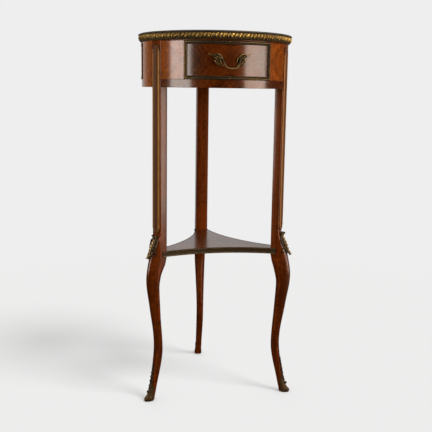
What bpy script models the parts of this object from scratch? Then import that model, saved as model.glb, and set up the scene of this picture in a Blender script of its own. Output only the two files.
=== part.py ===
"""Round side table on three cabriole legs, with a drawer in its drum and a three-sided shelf.

The table's axis is Z, the floor is at zero height and the drawer faces -Y. All sizes are in metres.
"""

import math

import bmesh
import bpy
from mathutils import Matrix, Vector

MM = 0.001

# Overall sizes
TABLE_HEIGHT = 760.0 * MM
DRUM_RADIUS = 152.7 * MM
FRIEZE_HEIGHT = 93.0 * MM

# Plan angles of the legs, and of the bays between them
BACK_LEG = 90.0
LEG_SPACING = 120.0
LEG_ANGLES = {
    "front_left": BACK_LEG + LEG_SPACING,
    "front_right": BACK_LEG + 2 * LEG_SPACING,
    "back": BACK_LEG,
}
BAY_ANGLES = {
    "front": BACK_LEG + 1.5 * LEG_SPACING,
    "back_left": BACK_LEG + 0.5 * LEG_SPACING,
    "back_right": BACK_LEG - 0.5 * LEG_SPACING,
}

# Fits: the glue line between fixed pieces and the running gap round the drawer
FIT = 0.3 * MM
DRAWER_GAP = 0.5 * MM

# Top: moulded rim, board and veneered panel
RIM_HEIGHT = 14.5 * MM
RIM_OVERHANG = 8.3 * MM
RIM_WIDTH = 10.7 * MM
RIM_LIP = 2.2 * MM
VENEER_THICKNESS = 1.5 * MM

# Legs: straight post and curved lower leg
LEG_WIDTH = 27.5 * MM
POST_DEPTH = 16.5 * MM
POST_SET_BACK = 1.3 * MM
POST_CHAMFER = 1.0 * MM
CURVE_CHAMFER = 2.4 * MM

# Carving of the curved part: its sides slope to a ridge outwards and to a narrower inner face
CARVE_START = 86.0 * MM
CARVE_FULL = 176.0 * MM
RIDGE_FULL_DROP = 21.0 * MM
BACK_FULL_DROP = 53.0 * MM
BACK_END_DROP = 27.0 * MM
RIDGE_DEPTH_SHARE = 0.6
RIDGE_WIDTH_SHARE = 0.81
BACK_DEPTH_SHARE = 0.32
BACK_WIDTH_SHARE = 0.78

# Outer face of the lower leg: how far it stands beyond the post, from the floor upwards
FOOT_REACH = 20.0 * MM
INSTEP_HEIGHT = 40.0 * MM
INSTEP_REACH = 13.2 * MM
ANKLE_HEIGHT = 112.0 * MM
ANKLE_REACH = 4.2 * MM
CALF_DROP = 121.0 * MM
CALF_REACH = 16.2 * MM
KNEE_DROP = 59.0 * MM
KNEE_REACH = 24.6 * MM
KNEE_TOP_DROP = 21.0 * MM
KNEE_TOP_REACH = 19.0 * MM
SHOULDER_RISE = 32.0 * MM

# Inner face of the lower leg: how far it stands beyond the inner face of the post
FOOT_SET_OUT = 25.6 * MM
HEEL_HEIGHT = 20.0 * MM
HEEL_SET_OUT = 21.6 * MM
ANKLE_SET_OUT = 4.2 * MM
CALF_SET_OUT = 9.2 * MM
HOLLOW_DROP = 76.0 * MM
HOLLOW_SET_OUT = 11.6 * MM
HOLLOW_TOP_DROP = 44.0 * MM
HOLLOW_TOP_SET_OUT = 5.6 * MM

# Width of the lower leg
FOOT_WIDTH = 13.2 * MM
ANKLE_WIDTH = 14.8 * MM
CALF_WIDTH = 20.4 * MM
KNEE_WIDTH = 24.2 * MM

# Gilt strips on the posts
STRIP_MARGIN = 2.0 * MM
STRIP_RELIEF = 2.8 * MM
STRIP_TOP_MARGIN = 10.0 * MM
STRIP_GAP = 1.5 * MM

# Knee mounts
KNEE_MOUNT_WRAP = 1.3 * MM
KNEE_MOUNT_RELIEF = 7.4 * MM
KNEE_MOUNT_RISE = 37.0 * MM
KNEE_MOUNT_DROP = 15.0 * MM

# Shoes of the feet
SHOE_HEIGHT = 24.0 * MM
SHOE_WALL = 1.5 * MM
SHOE_TOE = 10.0 * MM
SHOE_TOE_HEIGHT = 8.0 * MM
SOLE_THICKNESS = 1.2 * MM
TONGUE_RISE = 58.0 * MM
TONGUE_MARGIN = 1.7 * MM
TONGUE_RELIEF = 2.0 * MM

# Shelf
SHELF_TOP = 321.0 * MM
SHELF_THICKNESS = 12.0 * MM
SHELF_HOLLOW = 19.86 * MM
BAND_THICKNESS = 1.5 * MM
BAND_RETURN = 12.0 * MM
TENON_LENGTH = 8.0 * MM
TENON_SHOULDER = 6.0 * MM

# Frieze rails and the floor of the drum
LOWER_RAIL_HEIGHT = 15.5 * MM
UPPER_RAIL_HEIGHT = 4.2 * MM
FLOOR_THICKNESS = 8.0 * MM

# Drawer
DRAWER_WIDTH = 169.0 * MM
DRAWER_REAR_SPACE = 39.6 * MM
DRAWER_FRONT_THICKNESS = 17.0 * MM
DRAWER_SIDE_THICKNESS = 8.0 * MM
DRAWER_SIDE_SET_DOWN = 10.2 * MM
DRAWER_BACK_THICKNESS = 8.0 * MM
DRAWER_BOTTOM_THICKNESS = 5.0 * MM
DRAWER_BOTTOM_LIFT = 5.0 * MM
GUIDE_WIDTH = 8.0 * MM
GUIDE_HEIGHT = 10.0 * MM
KICKER_GAP = 0.8 * MM
STOP_WIDTH = 16.0 * MM
STOP_DEPTH = 8.0 * MM
STOP_HEIGHT = 9.0 * MM
STOP_SPACING = 84.0 * MM

# Brass borders
BORDER_WIDTH = 5.0 * MM
BORDER_RELIEF = 2.0 * MM

# Drop handle
HANDLE_SPACING = 44.0 * MM
HANDLE_RISE = 3.0 * MM
PIVOT_REACH = 16.0 * MM
POST_HEAD_RADIUS = 3.4 * MM
SHANK_RADIUS = 2.0 * MM
PIN_RADIUS = 1.4 * MM
BAIL_RADIUS = 2.3 * MM
BAIL_DROP = 19.0 * MM
BAIL_BOW = 4.2 * MM
LEAF_LENGTH = 20.0 * MM
LEAF_RISE = 9.5 * MM
LEAF_TAIL = 9.0 * MM
LEAF_HALF_WIDTH = 6.2 * MM
LEAF_RELIEF = 4.5 * MM
NUT_RADIUS = 4.5 * MM
NUT_THICKNESS = 4.0 * MM

# Corner blocks and the screws through them
BLOCK_DEPTH = 14.0 * MM
BLOCK_HEIGHT = 22.0 * MM
SCREW_RADIUS = 1.8 * MM
SCREW_HEAD_RADIUS = 3.6 * MM
SCREW_HEAD_HEIGHT = 2.4 * MM
SCREW_COVER = 3.5 * MM

# Fineness of the curves
ARC_STEP = math.radians(5.5)
RING_STEPS = 66
LEG_LEVELS = 34

# Levels and radii that follow from the sizes above
RIM_BOTTOM = TABLE_HEIGHT - RIM_HEIGHT
RIM_RADIUS = DRUM_RADIUS + RIM_OVERHANG
RIM_INNER = RIM_RADIUS - RIM_WIDTH
TOP_SURFACE = TABLE_HEIGHT - RIM_LIP
BOARD_TOP = TOP_SURFACE - VENEER_THICKNESS - FIT
FRIEZE_TOP = RIM_BOTTOM - FIT
FRIEZE_BOTTOM = RIM_BOTTOM - FRIEZE_HEIGHT
POST_OUTER = DRUM_RADIUS - POST_SET_BACK
POST_INNER = POST_OUTER - POST_DEPTH
SHELF_BOTTOM = SHELF_TOP - SHELF_THICKNESS
FLOOR_TOP = FRIEZE_BOTTOM + LOWER_RAIL_HEIGHT
UPPER_RAIL_BOTTOM = FRIEZE_TOP - UPPER_RAIL_HEIGHT
DRAWER_BOTTOM = FLOOR_TOP + DRAWER_GAP
DRAWER_TOP = UPPER_RAIL_BOTTOM - DRAWER_GAP
DRAWER_BACK = POST_INNER - DRAWER_REAR_SPACE
SIDE_BOTTOM = FLOOR_TOP + FIT
SIDE_TOP = DRAWER_TOP - DRAWER_SIDE_SET_DOWN
GROOVE_DEPTH = DRAWER_SIDE_THICKNESS / 2
FRONT_INNER = DRUM_RADIUS - DRAWER_FRONT_THICKNESS
FRONT_LAND = -math.sqrt(FRONT_INNER ** 2 - (DRAWER_WIDTH / 2 - DRAWER_SIDE_THICKNESS) ** 2)
OPENING_HALF = DRAWER_WIDTH / 2 + DRAWER_GAP
PIVOT_Y = -(DRUM_RADIUS + PIVOT_REACH)
PIVOT_Z = (DRAWER_BOTTOM + DRAWER_TOP) / 2 + HANDLE_RISE
STRIP_WIDTH = LEG_WIDTH - 2 * STRIP_MARGIN
KNEE_MOUNT_WIDTH = LEG_WIDTH + 2 * KNEE_MOUNT_WRAP
TENON_WIDTH = LEG_WIDTH - 2 * TENON_SHOULDER
TONGUE_WIDTH = ANKLE_WIDTH - 2 * TONGUE_MARGIN
TONGUE_TOP = SHOE_HEIGHT + TONGUE_RISE

# Finishes: colour, roughness, metallic
DRUM_VENEER = ((0.17, 0.045, 0.012), 0.18, 0.0)
LEG_WOOD = ((0.12, 0.028, 0.008), 0.22, 0.0)
SHELF_VENEER = ((0.13, 0.04, 0.02), 0.15, 0.0)
PLAIN_WOOD = ((0.36, 0.22, 0.11), 0.6, 0.0)
GILT_BRASS = ((0.42, 0.27, 0.08), 0.35, 1.0)
STEEL = ((0.5, 0.5, 0.5), 0.4, 1.0)

for existing in list(bpy.data.objects):
    bpy.data.objects.remove(existing, do_unlink=True)

PARTS = bpy.data.collections.new("tripod_side_table")
bpy.context.scene.collection.children.link(PARTS)
CUTTERS = bpy.data.collections.new("cutters")
bpy.context.scene.collection.children.link(CUTTERS)


# Helpers for objects, finishes and parents
def finish(obj, look):
    """Give a piece its own material."""
    colour, roughness, metallic = look
    material = bpy.data.materials.new(obj.name + "_finish")
    material.use_nodes = True
    shader = material.node_tree.nodes["Principled BSDF"]
    shader.inputs["Base Color"].default_value = (*colour, 1.0)
    shader.inputs["Roughness"].default_value = roughness
    shader.inputs["Metallic"].default_value = metallic
    obj.data.materials.clear()
    obj.data.materials.append(material)


def shade(mesh):
    """Smooth shading that keeps real corners sharp."""
    mesh.shade_smooth()
    mesh.set_sharp_from_angle(angle=math.radians(32.0))


def place(name, data, look, angle=0.0, parent=None, origin=None):
    """Add a piece to the model, turned about the table's axis, or with its origin on a joint."""
    obj = bpy.data.objects.new(name, data)
    PARTS.objects.link(obj)
    obj.rotation_euler = (0.0, 0.0, math.radians(angle))
    if origin is not None:
        data.transform(Matrix.Translation(-origin))
        obj.location = origin
    if parent is not None:
        obj.parent = parent
        obj.matrix_parent_inverse = Matrix.Translation(-parent.location)
    if isinstance(data, bpy.types.Mesh):
        shade(data)
    finish(obj, look)
    return obj


def joint_empty(name, location):
    """An empty on a joint's axis that carries the pieces that move together."""
    empty = bpy.data.objects.new(name, None)
    empty.location = location
    empty.empty_display_size = 0.03
    PARTS.objects.link(empty)
    return empty


def welded(mesh):
    """Join the loose caps and seams of a mesh."""
    work = bmesh.new()
    work.from_mesh(mesh)
    bmesh.ops.remove_doubles(work, verts=work.verts, dist=1e-6)
    bmesh.ops.recalc_face_normals(work, faces=work.faces)
    work.to_mesh(mesh)
    work.free()
    return mesh


def evaluated_mesh(obj, name):
    """The mesh of an object with its modifiers; the object itself is removed."""
    bpy.context.view_layer.update()
    graph = bpy.context.evaluated_depsgraph_get()
    mesh = bpy.data.meshes.new_from_object(obj.evaluated_get(graph))
    mesh.name = name
    mesh.transform(obj.matrix_world)
    bpy.data.objects.remove(obj, do_unlink=True)
    return welded(mesh)


def combined(name, base, others, operation):
    """A mesh cut by, or joined with, other meshes."""
    body = bpy.data.objects.new(name, base)
    CUTTERS.objects.link(body)
    tools = []
    for index, other in enumerate(others):
        tool = bpy.data.objects.new(f"{name}_tool_{index}", other)
        CUTTERS.objects.link(tool)
        modifier = body.modifiers.new(f"{operation.lower()}_{index}", "BOOLEAN")
        modifier.operation = operation
        modifier.solver = "EXACT"
        modifier.object = tool
        tools.append(tool)
    mesh = evaluated_mesh(body, name)
    for tool in tools:
        bpy.data.objects.remove(tool, do_unlink=True)
    return mesh


def cutter(name, mesh):
    """A cutting shape, kept out of the finished model."""
    obj = bpy.data.objects.new(name, mesh)
    obj.hide_render = True
    obj.display_type = "WIRE"
    CUTTERS.objects.link(obj)
    return obj


def cut(obj, tool):
    """Cut a piece with a cutting shape that stays editable."""
    modifier = obj.modifiers.new("cut_" + tool.name, "BOOLEAN")
    modifier.operation = "DIFFERENCE"
    modifier.solver = "EXACT"
    modifier.object = tool


# Helpers for shapes
def box(x, y, z):
    """A box between two bounds on each axis."""
    work = bmesh.new()
    bmesh.ops.create_cube(work, size=1.0)
    size = Vector((x[1] - x[0], y[1] - y[0], z[1] - z[0]))
    middle = Vector((x[1] + x[0], y[1] + y[0], z[1] + z[0])) / 2
    bmesh.ops.scale(work, vec=size, verts=work.verts)
    bmesh.ops.translate(work, vec=middle, verts=work.verts)
    mesh = bpy.data.meshes.new("box")
    work.to_mesh(mesh)
    work.free()
    return mesh


def rod(radius, start, end, sides=12):
    """A straight round rod, or with six sides a hexagon, between two points."""
    along = end - start
    work = bmesh.new()
    bmesh.ops.create_cone(
        work, cap_ends=True, segments=sides, radius1=radius, radius2=radius, depth=along.length
    )
    turn = along.to_track_quat("Z", "Y").to_matrix().to_4x4()
    bmesh.ops.transform(work, matrix=Matrix.Translation((start + end) / 2) @ turn, verts=work.verts)
    mesh = bpy.data.meshes.new("rod")
    work.to_mesh(mesh)
    work.free()
    return mesh


def sheet(outline, low, high, upright=False):
    """A flat outline with thickness: in plan between two heights, or upright between two depths."""
    curve = bpy.data.curves.new("outline", "CURVE")
    curve.dimensions = "2D"
    curve.fill_mode = "BOTH"
    curve.extrude = (high - low) / 2
    spline = curve.splines.new("POLY")
    spline.points.add(len(outline) - 1)
    for point, (across, along) in zip(spline.points, outline):
        point.co = (across, along, 0.0, 1.0)
    spline.use_cyclic_u = True
    obj = bpy.data.objects.new("outline", curve)
    CUTTERS.objects.link(obj)
    if upright:
        obj.rotation_euler = (math.radians(90.0), 0.0, 0.0)
        obj.location = (0.0, (low + high) / 2, 0.0)
    else:
        obj.location = (0.0, 0.0, (low + high) / 2)
    return evaluated_mesh(obj, "sheet")


def turned(profile, steps=RING_STEPS):
    """A shape turned about Z from a closed or axis-to-axis profile of (radius, height) points."""
    mesh = bpy.data.meshes.new("profile")
    points = [(radius, 0.0, height) for radius, height in profile]
    edges = [(i, i + 1) for i in range(len(points) - 1)]
    if profile[0][0] > 0.0:
        edges.append((len(points) - 1, 0))
    mesh.from_pydata(points, edges, [])
    obj = bpy.data.objects.new("turning", mesh)
    CUTTERS.objects.link(obj)
    screw = obj.modifiers.new("turn", "SCREW")
    screw.axis = "Z"
    screw.steps = steps
    screw.render_steps = steps
    screw.use_merge_vertices = True
    screw.merge_threshold = 0.00001
    return evaluated_mesh(obj, "turned")


def loft(rings, creased=False):
    """A closed skin over rings of equal point count, with flat ends; a creased one has flat sides too."""
    work = bmesh.new()
    loops = [[work.verts.new(point) for point in ring] for ring in rings]
    for low, high in zip(loops, loops[1:]):
        for i in range(len(low)):
            j = (i + 1) % len(low)
            if not creased:
                work.faces.new((low[i], low[j], high[j], high[i]))
            elif 2 * i < len(low):
                work.faces.new((low[i], low[j], high[j]))
                work.faces.new((low[i], high[j], high[i]))
            else:
                work.faces.new((low[i], low[j], high[i]))
                work.faces.new((low[j], high[j], high[i]))
    work.faces.new(list(reversed(loops[0])))
    work.faces.new(loops[-1])
    bmesh.ops.recalc_face_normals(work, faces=work.faces)
    mesh = bpy.data.meshes.new("loft")
    work.to_mesh(mesh)
    work.free()
    return mesh


def smooth(stations, at):
    """Value at a position on the smooth curve through (position, value) stations."""
    points = sorted(stations)
    if at <= points[0][0]:
        return points[0][1]
    if at >= points[-1][0]:
        return points[-1][1]
    slopes = [(b[1] - a[1]) / (b[0] - a[0]) for a, b in zip(points, points[1:])]
    tangents = [0.0]
    for before, after in zip(slopes, slopes[1:]):
        tangents.append(2 * before * after / (before + after) if before * after > 0 else 0.0)
    tangents.append(slopes[-1])
    for i, (low, high) in enumerate(zip(points, points[1:])):
        if at <= high[0]:
            span = high[0] - low[0]
            t = (at - low[0]) / span
            return (
                low[1] * (1 + 2 * t) * (1 - t) ** 2
                + tangents[i] * span * t * (1 - t) ** 2
                + high[1] * t * t * (3 - 2 * t)
                + tangents[i + 1] * span * t * t * (t - 1)
            )
    return points[-1][1]


def spread(low, high, count):
    """Evenly spaced values, both ends included."""
    return [low + (high - low) * i / (count - 1) for i in range(count)]


def arc(radius, start, end):
    """Plan points along a circle about the axis, in steps of about one arc step."""
    count = max(2, math.ceil(abs(end - start) / ARC_STEP) + 1)
    return [(radius * math.cos(a), radius * math.sin(a)) for a in spread(start, end, count)]


# The legs' curves, as functions of the height above the floor
def leg_outer(height):
    """Radius of the leg's outer face."""
    return POST_OUTER + smooth(
        (
            (0.0, FOOT_REACH),
            (INSTEP_HEIGHT, INSTEP_REACH),
            (ANKLE_HEIGHT, ANKLE_REACH),
            (SHELF_TOP - CALF_DROP, CALF_REACH),
            (SHELF_TOP - KNEE_DROP, KNEE_REACH),
            (SHELF_TOP - KNEE_TOP_DROP, KNEE_TOP_REACH),
            (SHELF_TOP + SHOULDER_RISE, 0.0),
        ),
        height,
    )


def leg_inner(height):
    """Radius of the leg's inner face."""
    return POST_INNER + smooth(
        (
            (0.0, FOOT_SET_OUT),
            (HEEL_HEIGHT, HEEL_SET_OUT),
            (ANKLE_HEIGHT, ANKLE_SET_OUT),
            (SHELF_TOP - CALF_DROP, CALF_SET_OUT),
            (SHELF_TOP - HOLLOW_DROP, HOLLOW_SET_OUT),
            (SHELF_TOP - HOLLOW_TOP_DROP, HOLLOW_TOP_SET_OUT),
            (SHELF_BOTTOM - FIT, 0.0),
        ),
        height,
    )


def leg_half_width(height):
    """Half the width of the leg across its plane."""
    return smooth(
        (
            (0.0, FOOT_WIDTH),
            (ANKLE_HEIGHT, ANKLE_WIDTH),
            (SHELF_TOP - CALF_DROP, CALF_WIDTH),
            (SHELF_TOP - HOLLOW_DROP, KNEE_WIDTH),
            (SHELF_BOTTOM - FIT, LEG_WIDTH),
        ),
        height,
    ) / 2


def leg_corners(height, half, depth):
    """Depth and width of the outer slopes, then of the inner ones, of a section of the leg."""
    corner = smooth(
        ((SHELF_TOP - KNEE_DROP, CURVE_CHAMFER), (SHELF_BOTTOM - FIT, POST_CHAMFER)), height
    )
    corner = min(corner, 0.6 * half, 0.3 * depth)
    start = ((CARVE_START, 0.0), (CARVE_FULL, 1.0))
    ridge_end = ((SHELF_TOP - RIDGE_FULL_DROP, 1.0), (SHELF_TOP + SHOULDER_RISE, 0.0))
    back_end = ((SHELF_TOP - BACK_FULL_DROP, 1.0), (SHELF_TOP - BACK_END_DROP, 0.0))
    ridge = smooth(start + ridge_end, height)
    back = smooth(start + back_end, height)
    return (
        corner + ridge * (RIDGE_DEPTH_SHARE * depth - corner),
        corner + ridge * (RIDGE_WIDTH_SHARE * half - corner),
        corner + back * (BACK_DEPTH_SHARE * depth - corner),
        corner + back * (BACK_WIDTH_SHARE * half - corner),
    )


def leg_face(height, across):
    """Radius of the leg's outer side at a sideways distance from its middle."""
    outer = leg_outer(height)
    half = leg_half_width(height)
    ridge_depth, ridge_width, _, _ = leg_corners(height, half, outer - leg_inner(height))
    past = max(0.0, abs(across) - (half - ridge_width))
    return outer - ridge_depth * min(1.0, past / ridge_width)


def leg_ring(height, grow=0.0):
    """Eight-sided section of the leg at a height, grown by a fit."""
    outer = leg_outer(height) + grow
    inner = leg_inner(height) - grow
    half = leg_half_width(height) + grow
    ridge_depth, ridge_width, back_depth, back_width = leg_corners(height, half, outer - inner)
    plan = (
        (outer, ridge_width - half),
        (outer, half - ridge_width),
        (outer - ridge_depth, half),
        (inner + back_depth, half),
        (inner, half - back_width),
        (inner, back_width - half),
        (inner + back_depth, -half),
        (outer - ridge_depth, -half),
    )
    return [Vector((x, y, height)) for x, y in plan]


def leg_loft(low, high, grow=0.0):
    """Skin of the leg between two heights."""
    bend_top = SHELF_TOP + SHOULDER_RISE
    step = bend_top / LEG_LEVELS
    levels = [low]
    levels += [step * i for i in range(1, LEG_LEVELS) if low + step / 3 < step * i < high - step / 3]
    if high > bend_top:
        levels.append(bend_top)
    levels.append(high)
    return loft([leg_ring(height, grow) for height in levels], creased=True)


# Top: rim, board and veneered panel
def build_top():
    def rim(outward, down):
        return (RIM_INNER + RIM_WIDTH * outward, TABLE_HEIGHT - RIM_HEIGHT * down)

    rim_profile = (
        rim(0.0, 0.0),
        rim(0.58, 0.0),
        rim(0.84, 0.12),
        rim(0.97, 0.32),
        rim(1.0, 0.52),
        rim(0.9, 0.74),
        rim(0.6, 0.92),
        rim(0.38, 1.0),
        rim(0.0, 1.0),
    )
    place("top_rim", turned(rim_profile), GILT_BRASS)
    radius = RIM_INNER - FIT
    board = turned(((0.0, BOARD_TOP), (radius, BOARD_TOP), (radius, RIM_BOTTOM), (0.0, RIM_BOTTOM)))
    board = place("top_board", board, PLAIN_WOOD)
    veneer_bottom = TOP_SURFACE - VENEER_THICKNESS
    veneer = ((0.0, TOP_SURFACE), (radius, TOP_SURFACE), (radius, veneer_bottom), (0.0, veneer_bottom))
    place("top_veneer", turned(veneer), SHELF_VENEER)
    return board


# Drum: panels, cheeks, rails and floor
def beside_leg(radius, leg, side):
    """Angle at which a circle meets the side of a leg, with its fit."""
    return math.radians(leg) + side * math.asin((LEG_WIDTH / 2 + FIT) / radius)


def beside_drawer(radius, side):
    """Angle at which a circle meets the end of the drawer's opening."""
    return math.radians(BAY_ANGLES["front"] - 360.0) + side * math.asin(OPENING_HALF / radius)


def frieze_outline(start, end):
    """Plan of a curved frieze piece between two end angles, each a function of the radius."""
    outer = arc(DRUM_RADIUS, start(DRUM_RADIUS), end(DRUM_RADIUS))
    inner = arc(POST_INNER, end(POST_INNER), start(POST_INNER))
    return outer + inner


def build_drum():
    left = LEG_ANGLES["front_left"] - 360.0
    right = LEG_ANGLES["front_right"] - 360.0
    back = LEG_ANGLES["back"]

    def after(leg):
        return lambda radius: beside_leg(radius, leg, 1)

    def before(leg):
        return lambda radius: beside_leg(radius, leg, -1)

    back_right = frieze_outline(after(right), before(back))
    place("frieze_panel_back_right", sheet(back_right, FRIEZE_BOTTOM, FRIEZE_TOP), DRUM_VENEER)
    back_left = frieze_outline(after(back), before(LEG_ANGLES["front_left"]))
    place("frieze_panel_back_left", sheet(back_left, FRIEZE_BOTTOM, FRIEZE_TOP), DRUM_VENEER)

    rail = frieze_outline(after(left), before(right))
    place("drawer_rail_lower", sheet(rail, FRIEZE_BOTTOM, FLOOR_TOP), DRUM_VENEER)
    place("drawer_rail_upper", sheet(rail, UPPER_RAIL_BOTTOM, FRIEZE_TOP), DRUM_VENEER)

    cheek_low = FLOOR_TOP + FIT
    cheek_high = UPPER_RAIL_BOTTOM - FIT
    cheek_left = frieze_outline(after(left), lambda radius: beside_drawer(radius, -1))
    place("frieze_cheek_left", sheet(cheek_left, cheek_low, cheek_high), DRUM_VENEER)
    cheek_right = frieze_outline(lambda radius: beside_drawer(radius, 1), before(right))
    place("frieze_cheek_right", sheet(cheek_right, cheek_low, cheek_high), DRUM_VENEER)

    radius = POST_INNER - FIT
    low = FLOOR_TOP - FLOOR_THICKNESS
    floor = turned(((0.0, FLOOR_TOP), (radius, FLOOR_TOP), (radius, low), (0.0, low)))
    place("drum_floor", floor, PLAIN_WOOD)


# Legs with their strips, knee mounts and shoes
def strip_mesh():
    """Gilt strip: a bead along each edge, a sunk channel between, and round ends."""
    base = POST_OUTER + FIT
    half = STRIP_WIDTH / 2
    low = SHELF_TOP + KNEE_MOUNT_RISE + STRIP_GAP
    high = RIM_BOTTOM - STRIP_TOP_MARGIN
    profile = (
        (-1.0, 0.0),
        (1.0, 0.0),
        (1.0, 0.55),
        (0.8, 1.0),
        (0.58, 0.5),
        (0.0, 0.36),
        (-0.58, 0.5),
        (-0.8, 1.0),
        (-1.0, 0.55),
    )
    rise = [half * (1.0 - math.cos(math.radians(a))) for a in (8.0, 25.0, 45.0, 65.0, 90.0)]
    levels = [low + d for d in rise] + [high - d for d in reversed(rise)]
    rings = []
    for height in levels:
        inset = max(0.0, half - min(height - low, high - height))
        reach = math.sqrt(max(0.0, half * half - inset * inset))
        ring = [Vector((base + STRIP_RELIEF * up, reach * across, height)) for across, up in profile]
        rings.append(ring)
    return loft(rings)


def knee_mount_mesh(wood):
    """Leafy mount that wraps the front of the knee: ribbed, lobed and curled at both ends."""
    low = SHELF_TOP - KNEE_MOUNT_DROP
    high = SHELF_TOP + KNEE_MOUNT_RISE
    outline = (
        (0.0, 0.16),
        (0.1, 0.3),
        (0.3, 0.48),
        (0.5, 0.74),
        (0.68, 0.92),
        (0.84, 0.74),
        (1.0, 0.4),
    )
    relief = ((0.0, 0.8), (0.1, 0.92), (0.45, 1.0), (0.75, 0.8), (0.9, 0.72), (1.0, 0.66))
    rings = []
    for share in (0.0, 0.08, 0.2, 0.34, 0.48, 0.62, 0.76, 0.88, 0.95, 1.0):
        height = low + (high - low) * share
        half = KNEE_MOUNT_WIDTH / 2 * smooth(outline, share)
        rise = KNEE_MOUNT_RELIEF * smooth(relief, share)
        back = leg_face(height, half) - 2 * rise / 3
        ring = [Vector((back, half * side, height)) for side in (-1.0, 1.0)]
        profile = ((1.0, 0.1), (0.72, 0.72), (0.44, 0.62), (0.16, 1.0))
        for across, up in profile:
            ring.append(Vector((leg_face(height, half * across) + rise * up, half * across, height)))
        for across, up in reversed(profile):
            ring.append(Vector((leg_face(height, half * across) + rise * up, -half * across, height)))
        rings.append(ring)
    return combined("knee_mount", loft(rings), [wood], "DIFFERENCE")


def shoe_mesh(wood):
    """Gilt shoe: a cup open at the heel, with a turned-up toe and a tongue up the front of the leg."""
    shoulder = SHOE_HEIGHT + TONGUE_RISE / 8
    half_foot = leg_half_width(0.0) + FIT + SHOE_WALL
    half_top = leg_half_width(SHOE_HEIGHT) + FIT + SHOE_WALL
    width = (
        (0.0, half_foot),
        (SHOE_HEIGHT, half_top),
        (shoulder, TONGUE_WIDTH / 2),
        (TONGUE_TOP, TONGUE_WIDTH / 6),
    )
    front = (
        (0.0, 0.65 * SHOE_TOE),
        (SHOE_TOE_HEIGHT, SHOE_TOE),
        (2 * SHOE_TOE_HEIGHT, 0.6 * SHOE_TOE),
        (shoulder + SHOE_TOE_HEIGHT, TONGUE_RELIEF),
        (TONGUE_TOP - SHOE_TOE_HEIGHT, TONGUE_RELIEF),
        (TONGUE_TOP, TONGUE_RELIEF / 2),
    )
    levels = spread(0.0, SHOE_HEIGHT, 6) + [shoulder]
    levels += spread(shoulder, TONGUE_TOP, 6)[1:]
    rings = []
    for height in levels:
        half = smooth(width, height)
        nose = leg_outer(height) + FIT + smooth(front, height)
        side = nose - 0.6 * smooth(front, height) - 0.25 * half
        heel = leg_inner(height) + 0.35 * (leg_outer(height) - leg_inner(height))
        flank = nose - 0.12 * half
        plan = (
            (heel, half),
            (heel, -half),
            (side, -half),
            (flank, -half / 2),
            (nose, 0.0),
            (flank, half / 2),
            (side, half),
        )
        rings.append([Vector((x, y, height)) for x, y in plan])
    return combined("shoe", loft(rings), [wood], "DIFFERENCE")


def build_legs():
    floor = SOLE_THICKNESS + FIT
    mortise = box(
        (POST_INNER - TENON_LENGTH, POST_INNER + TENON_LENGTH),
        (-TENON_WIDTH / 2 - FIT, TENON_WIDTH / 2 + FIT),
        (SHELF_BOTTOM - FIT, SHELF_TOP + FIT),
    )
    leg = combined("leg", leg_loft(floor, FRIEZE_TOP), [mortise], "DIFFERENCE")
    knee_wood = leg_loft(SHELF_TOP - 2 * KNEE_MOUNT_DROP, SHELF_TOP + 2 * KNEE_MOUNT_RISE, FIT)
    foot_wood = leg_loft(SOLE_THICKNESS, 1.4 * TONGUE_TOP, FIT)
    strip = strip_mesh()
    mount = knee_mount_mesh(knee_wood)
    shoe = shoe_mesh(foot_wood)
    for name, angle in LEG_ANGLES.items():
        place(f"leg_{name}", leg.copy(), LEG_WOOD, angle)
        place(f"leg_strip_{name}", strip.copy(), GILT_BRASS, angle)
        place(f"knee_mount_{name}", mount.copy(), GILT_BRASS, angle)
        place(f"foot_shoe_{name}", shoe.copy(), GILT_BRASS, angle)


# Shelf and its edge bands
def shelf_edge():
    """Points of one hollow edge of the shelf, in the frame whose X points out at the edge's middle."""
    reach = POST_INNER - FIT
    half = LEG_WIDTH / 2
    slant = math.radians(LEG_SPACING / 2)
    corner_out = reach * math.cos(slant) + half * math.sin(slant)
    corner_along = reach * math.sin(slant) - half * math.cos(slant)
    radius = (corner_along ** 2 + SHELF_HOLLOW ** 2) / (2 * SHELF_HOLLOW)
    swing = math.asin(corner_along / radius)
    centre = corner_out - SHELF_HOLLOW + radius
    return [(centre - radius * math.cos(a), radius * math.sin(a)) for a in spread(-swing, swing, 17)]


def turned_plan(points, angle):
    """Plan points turned about the axis."""
    c = math.cos(math.radians(angle))
    s = math.sin(math.radians(angle))
    return [(x * c - y * s, x * s + y * c) for x, y in points]


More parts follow.
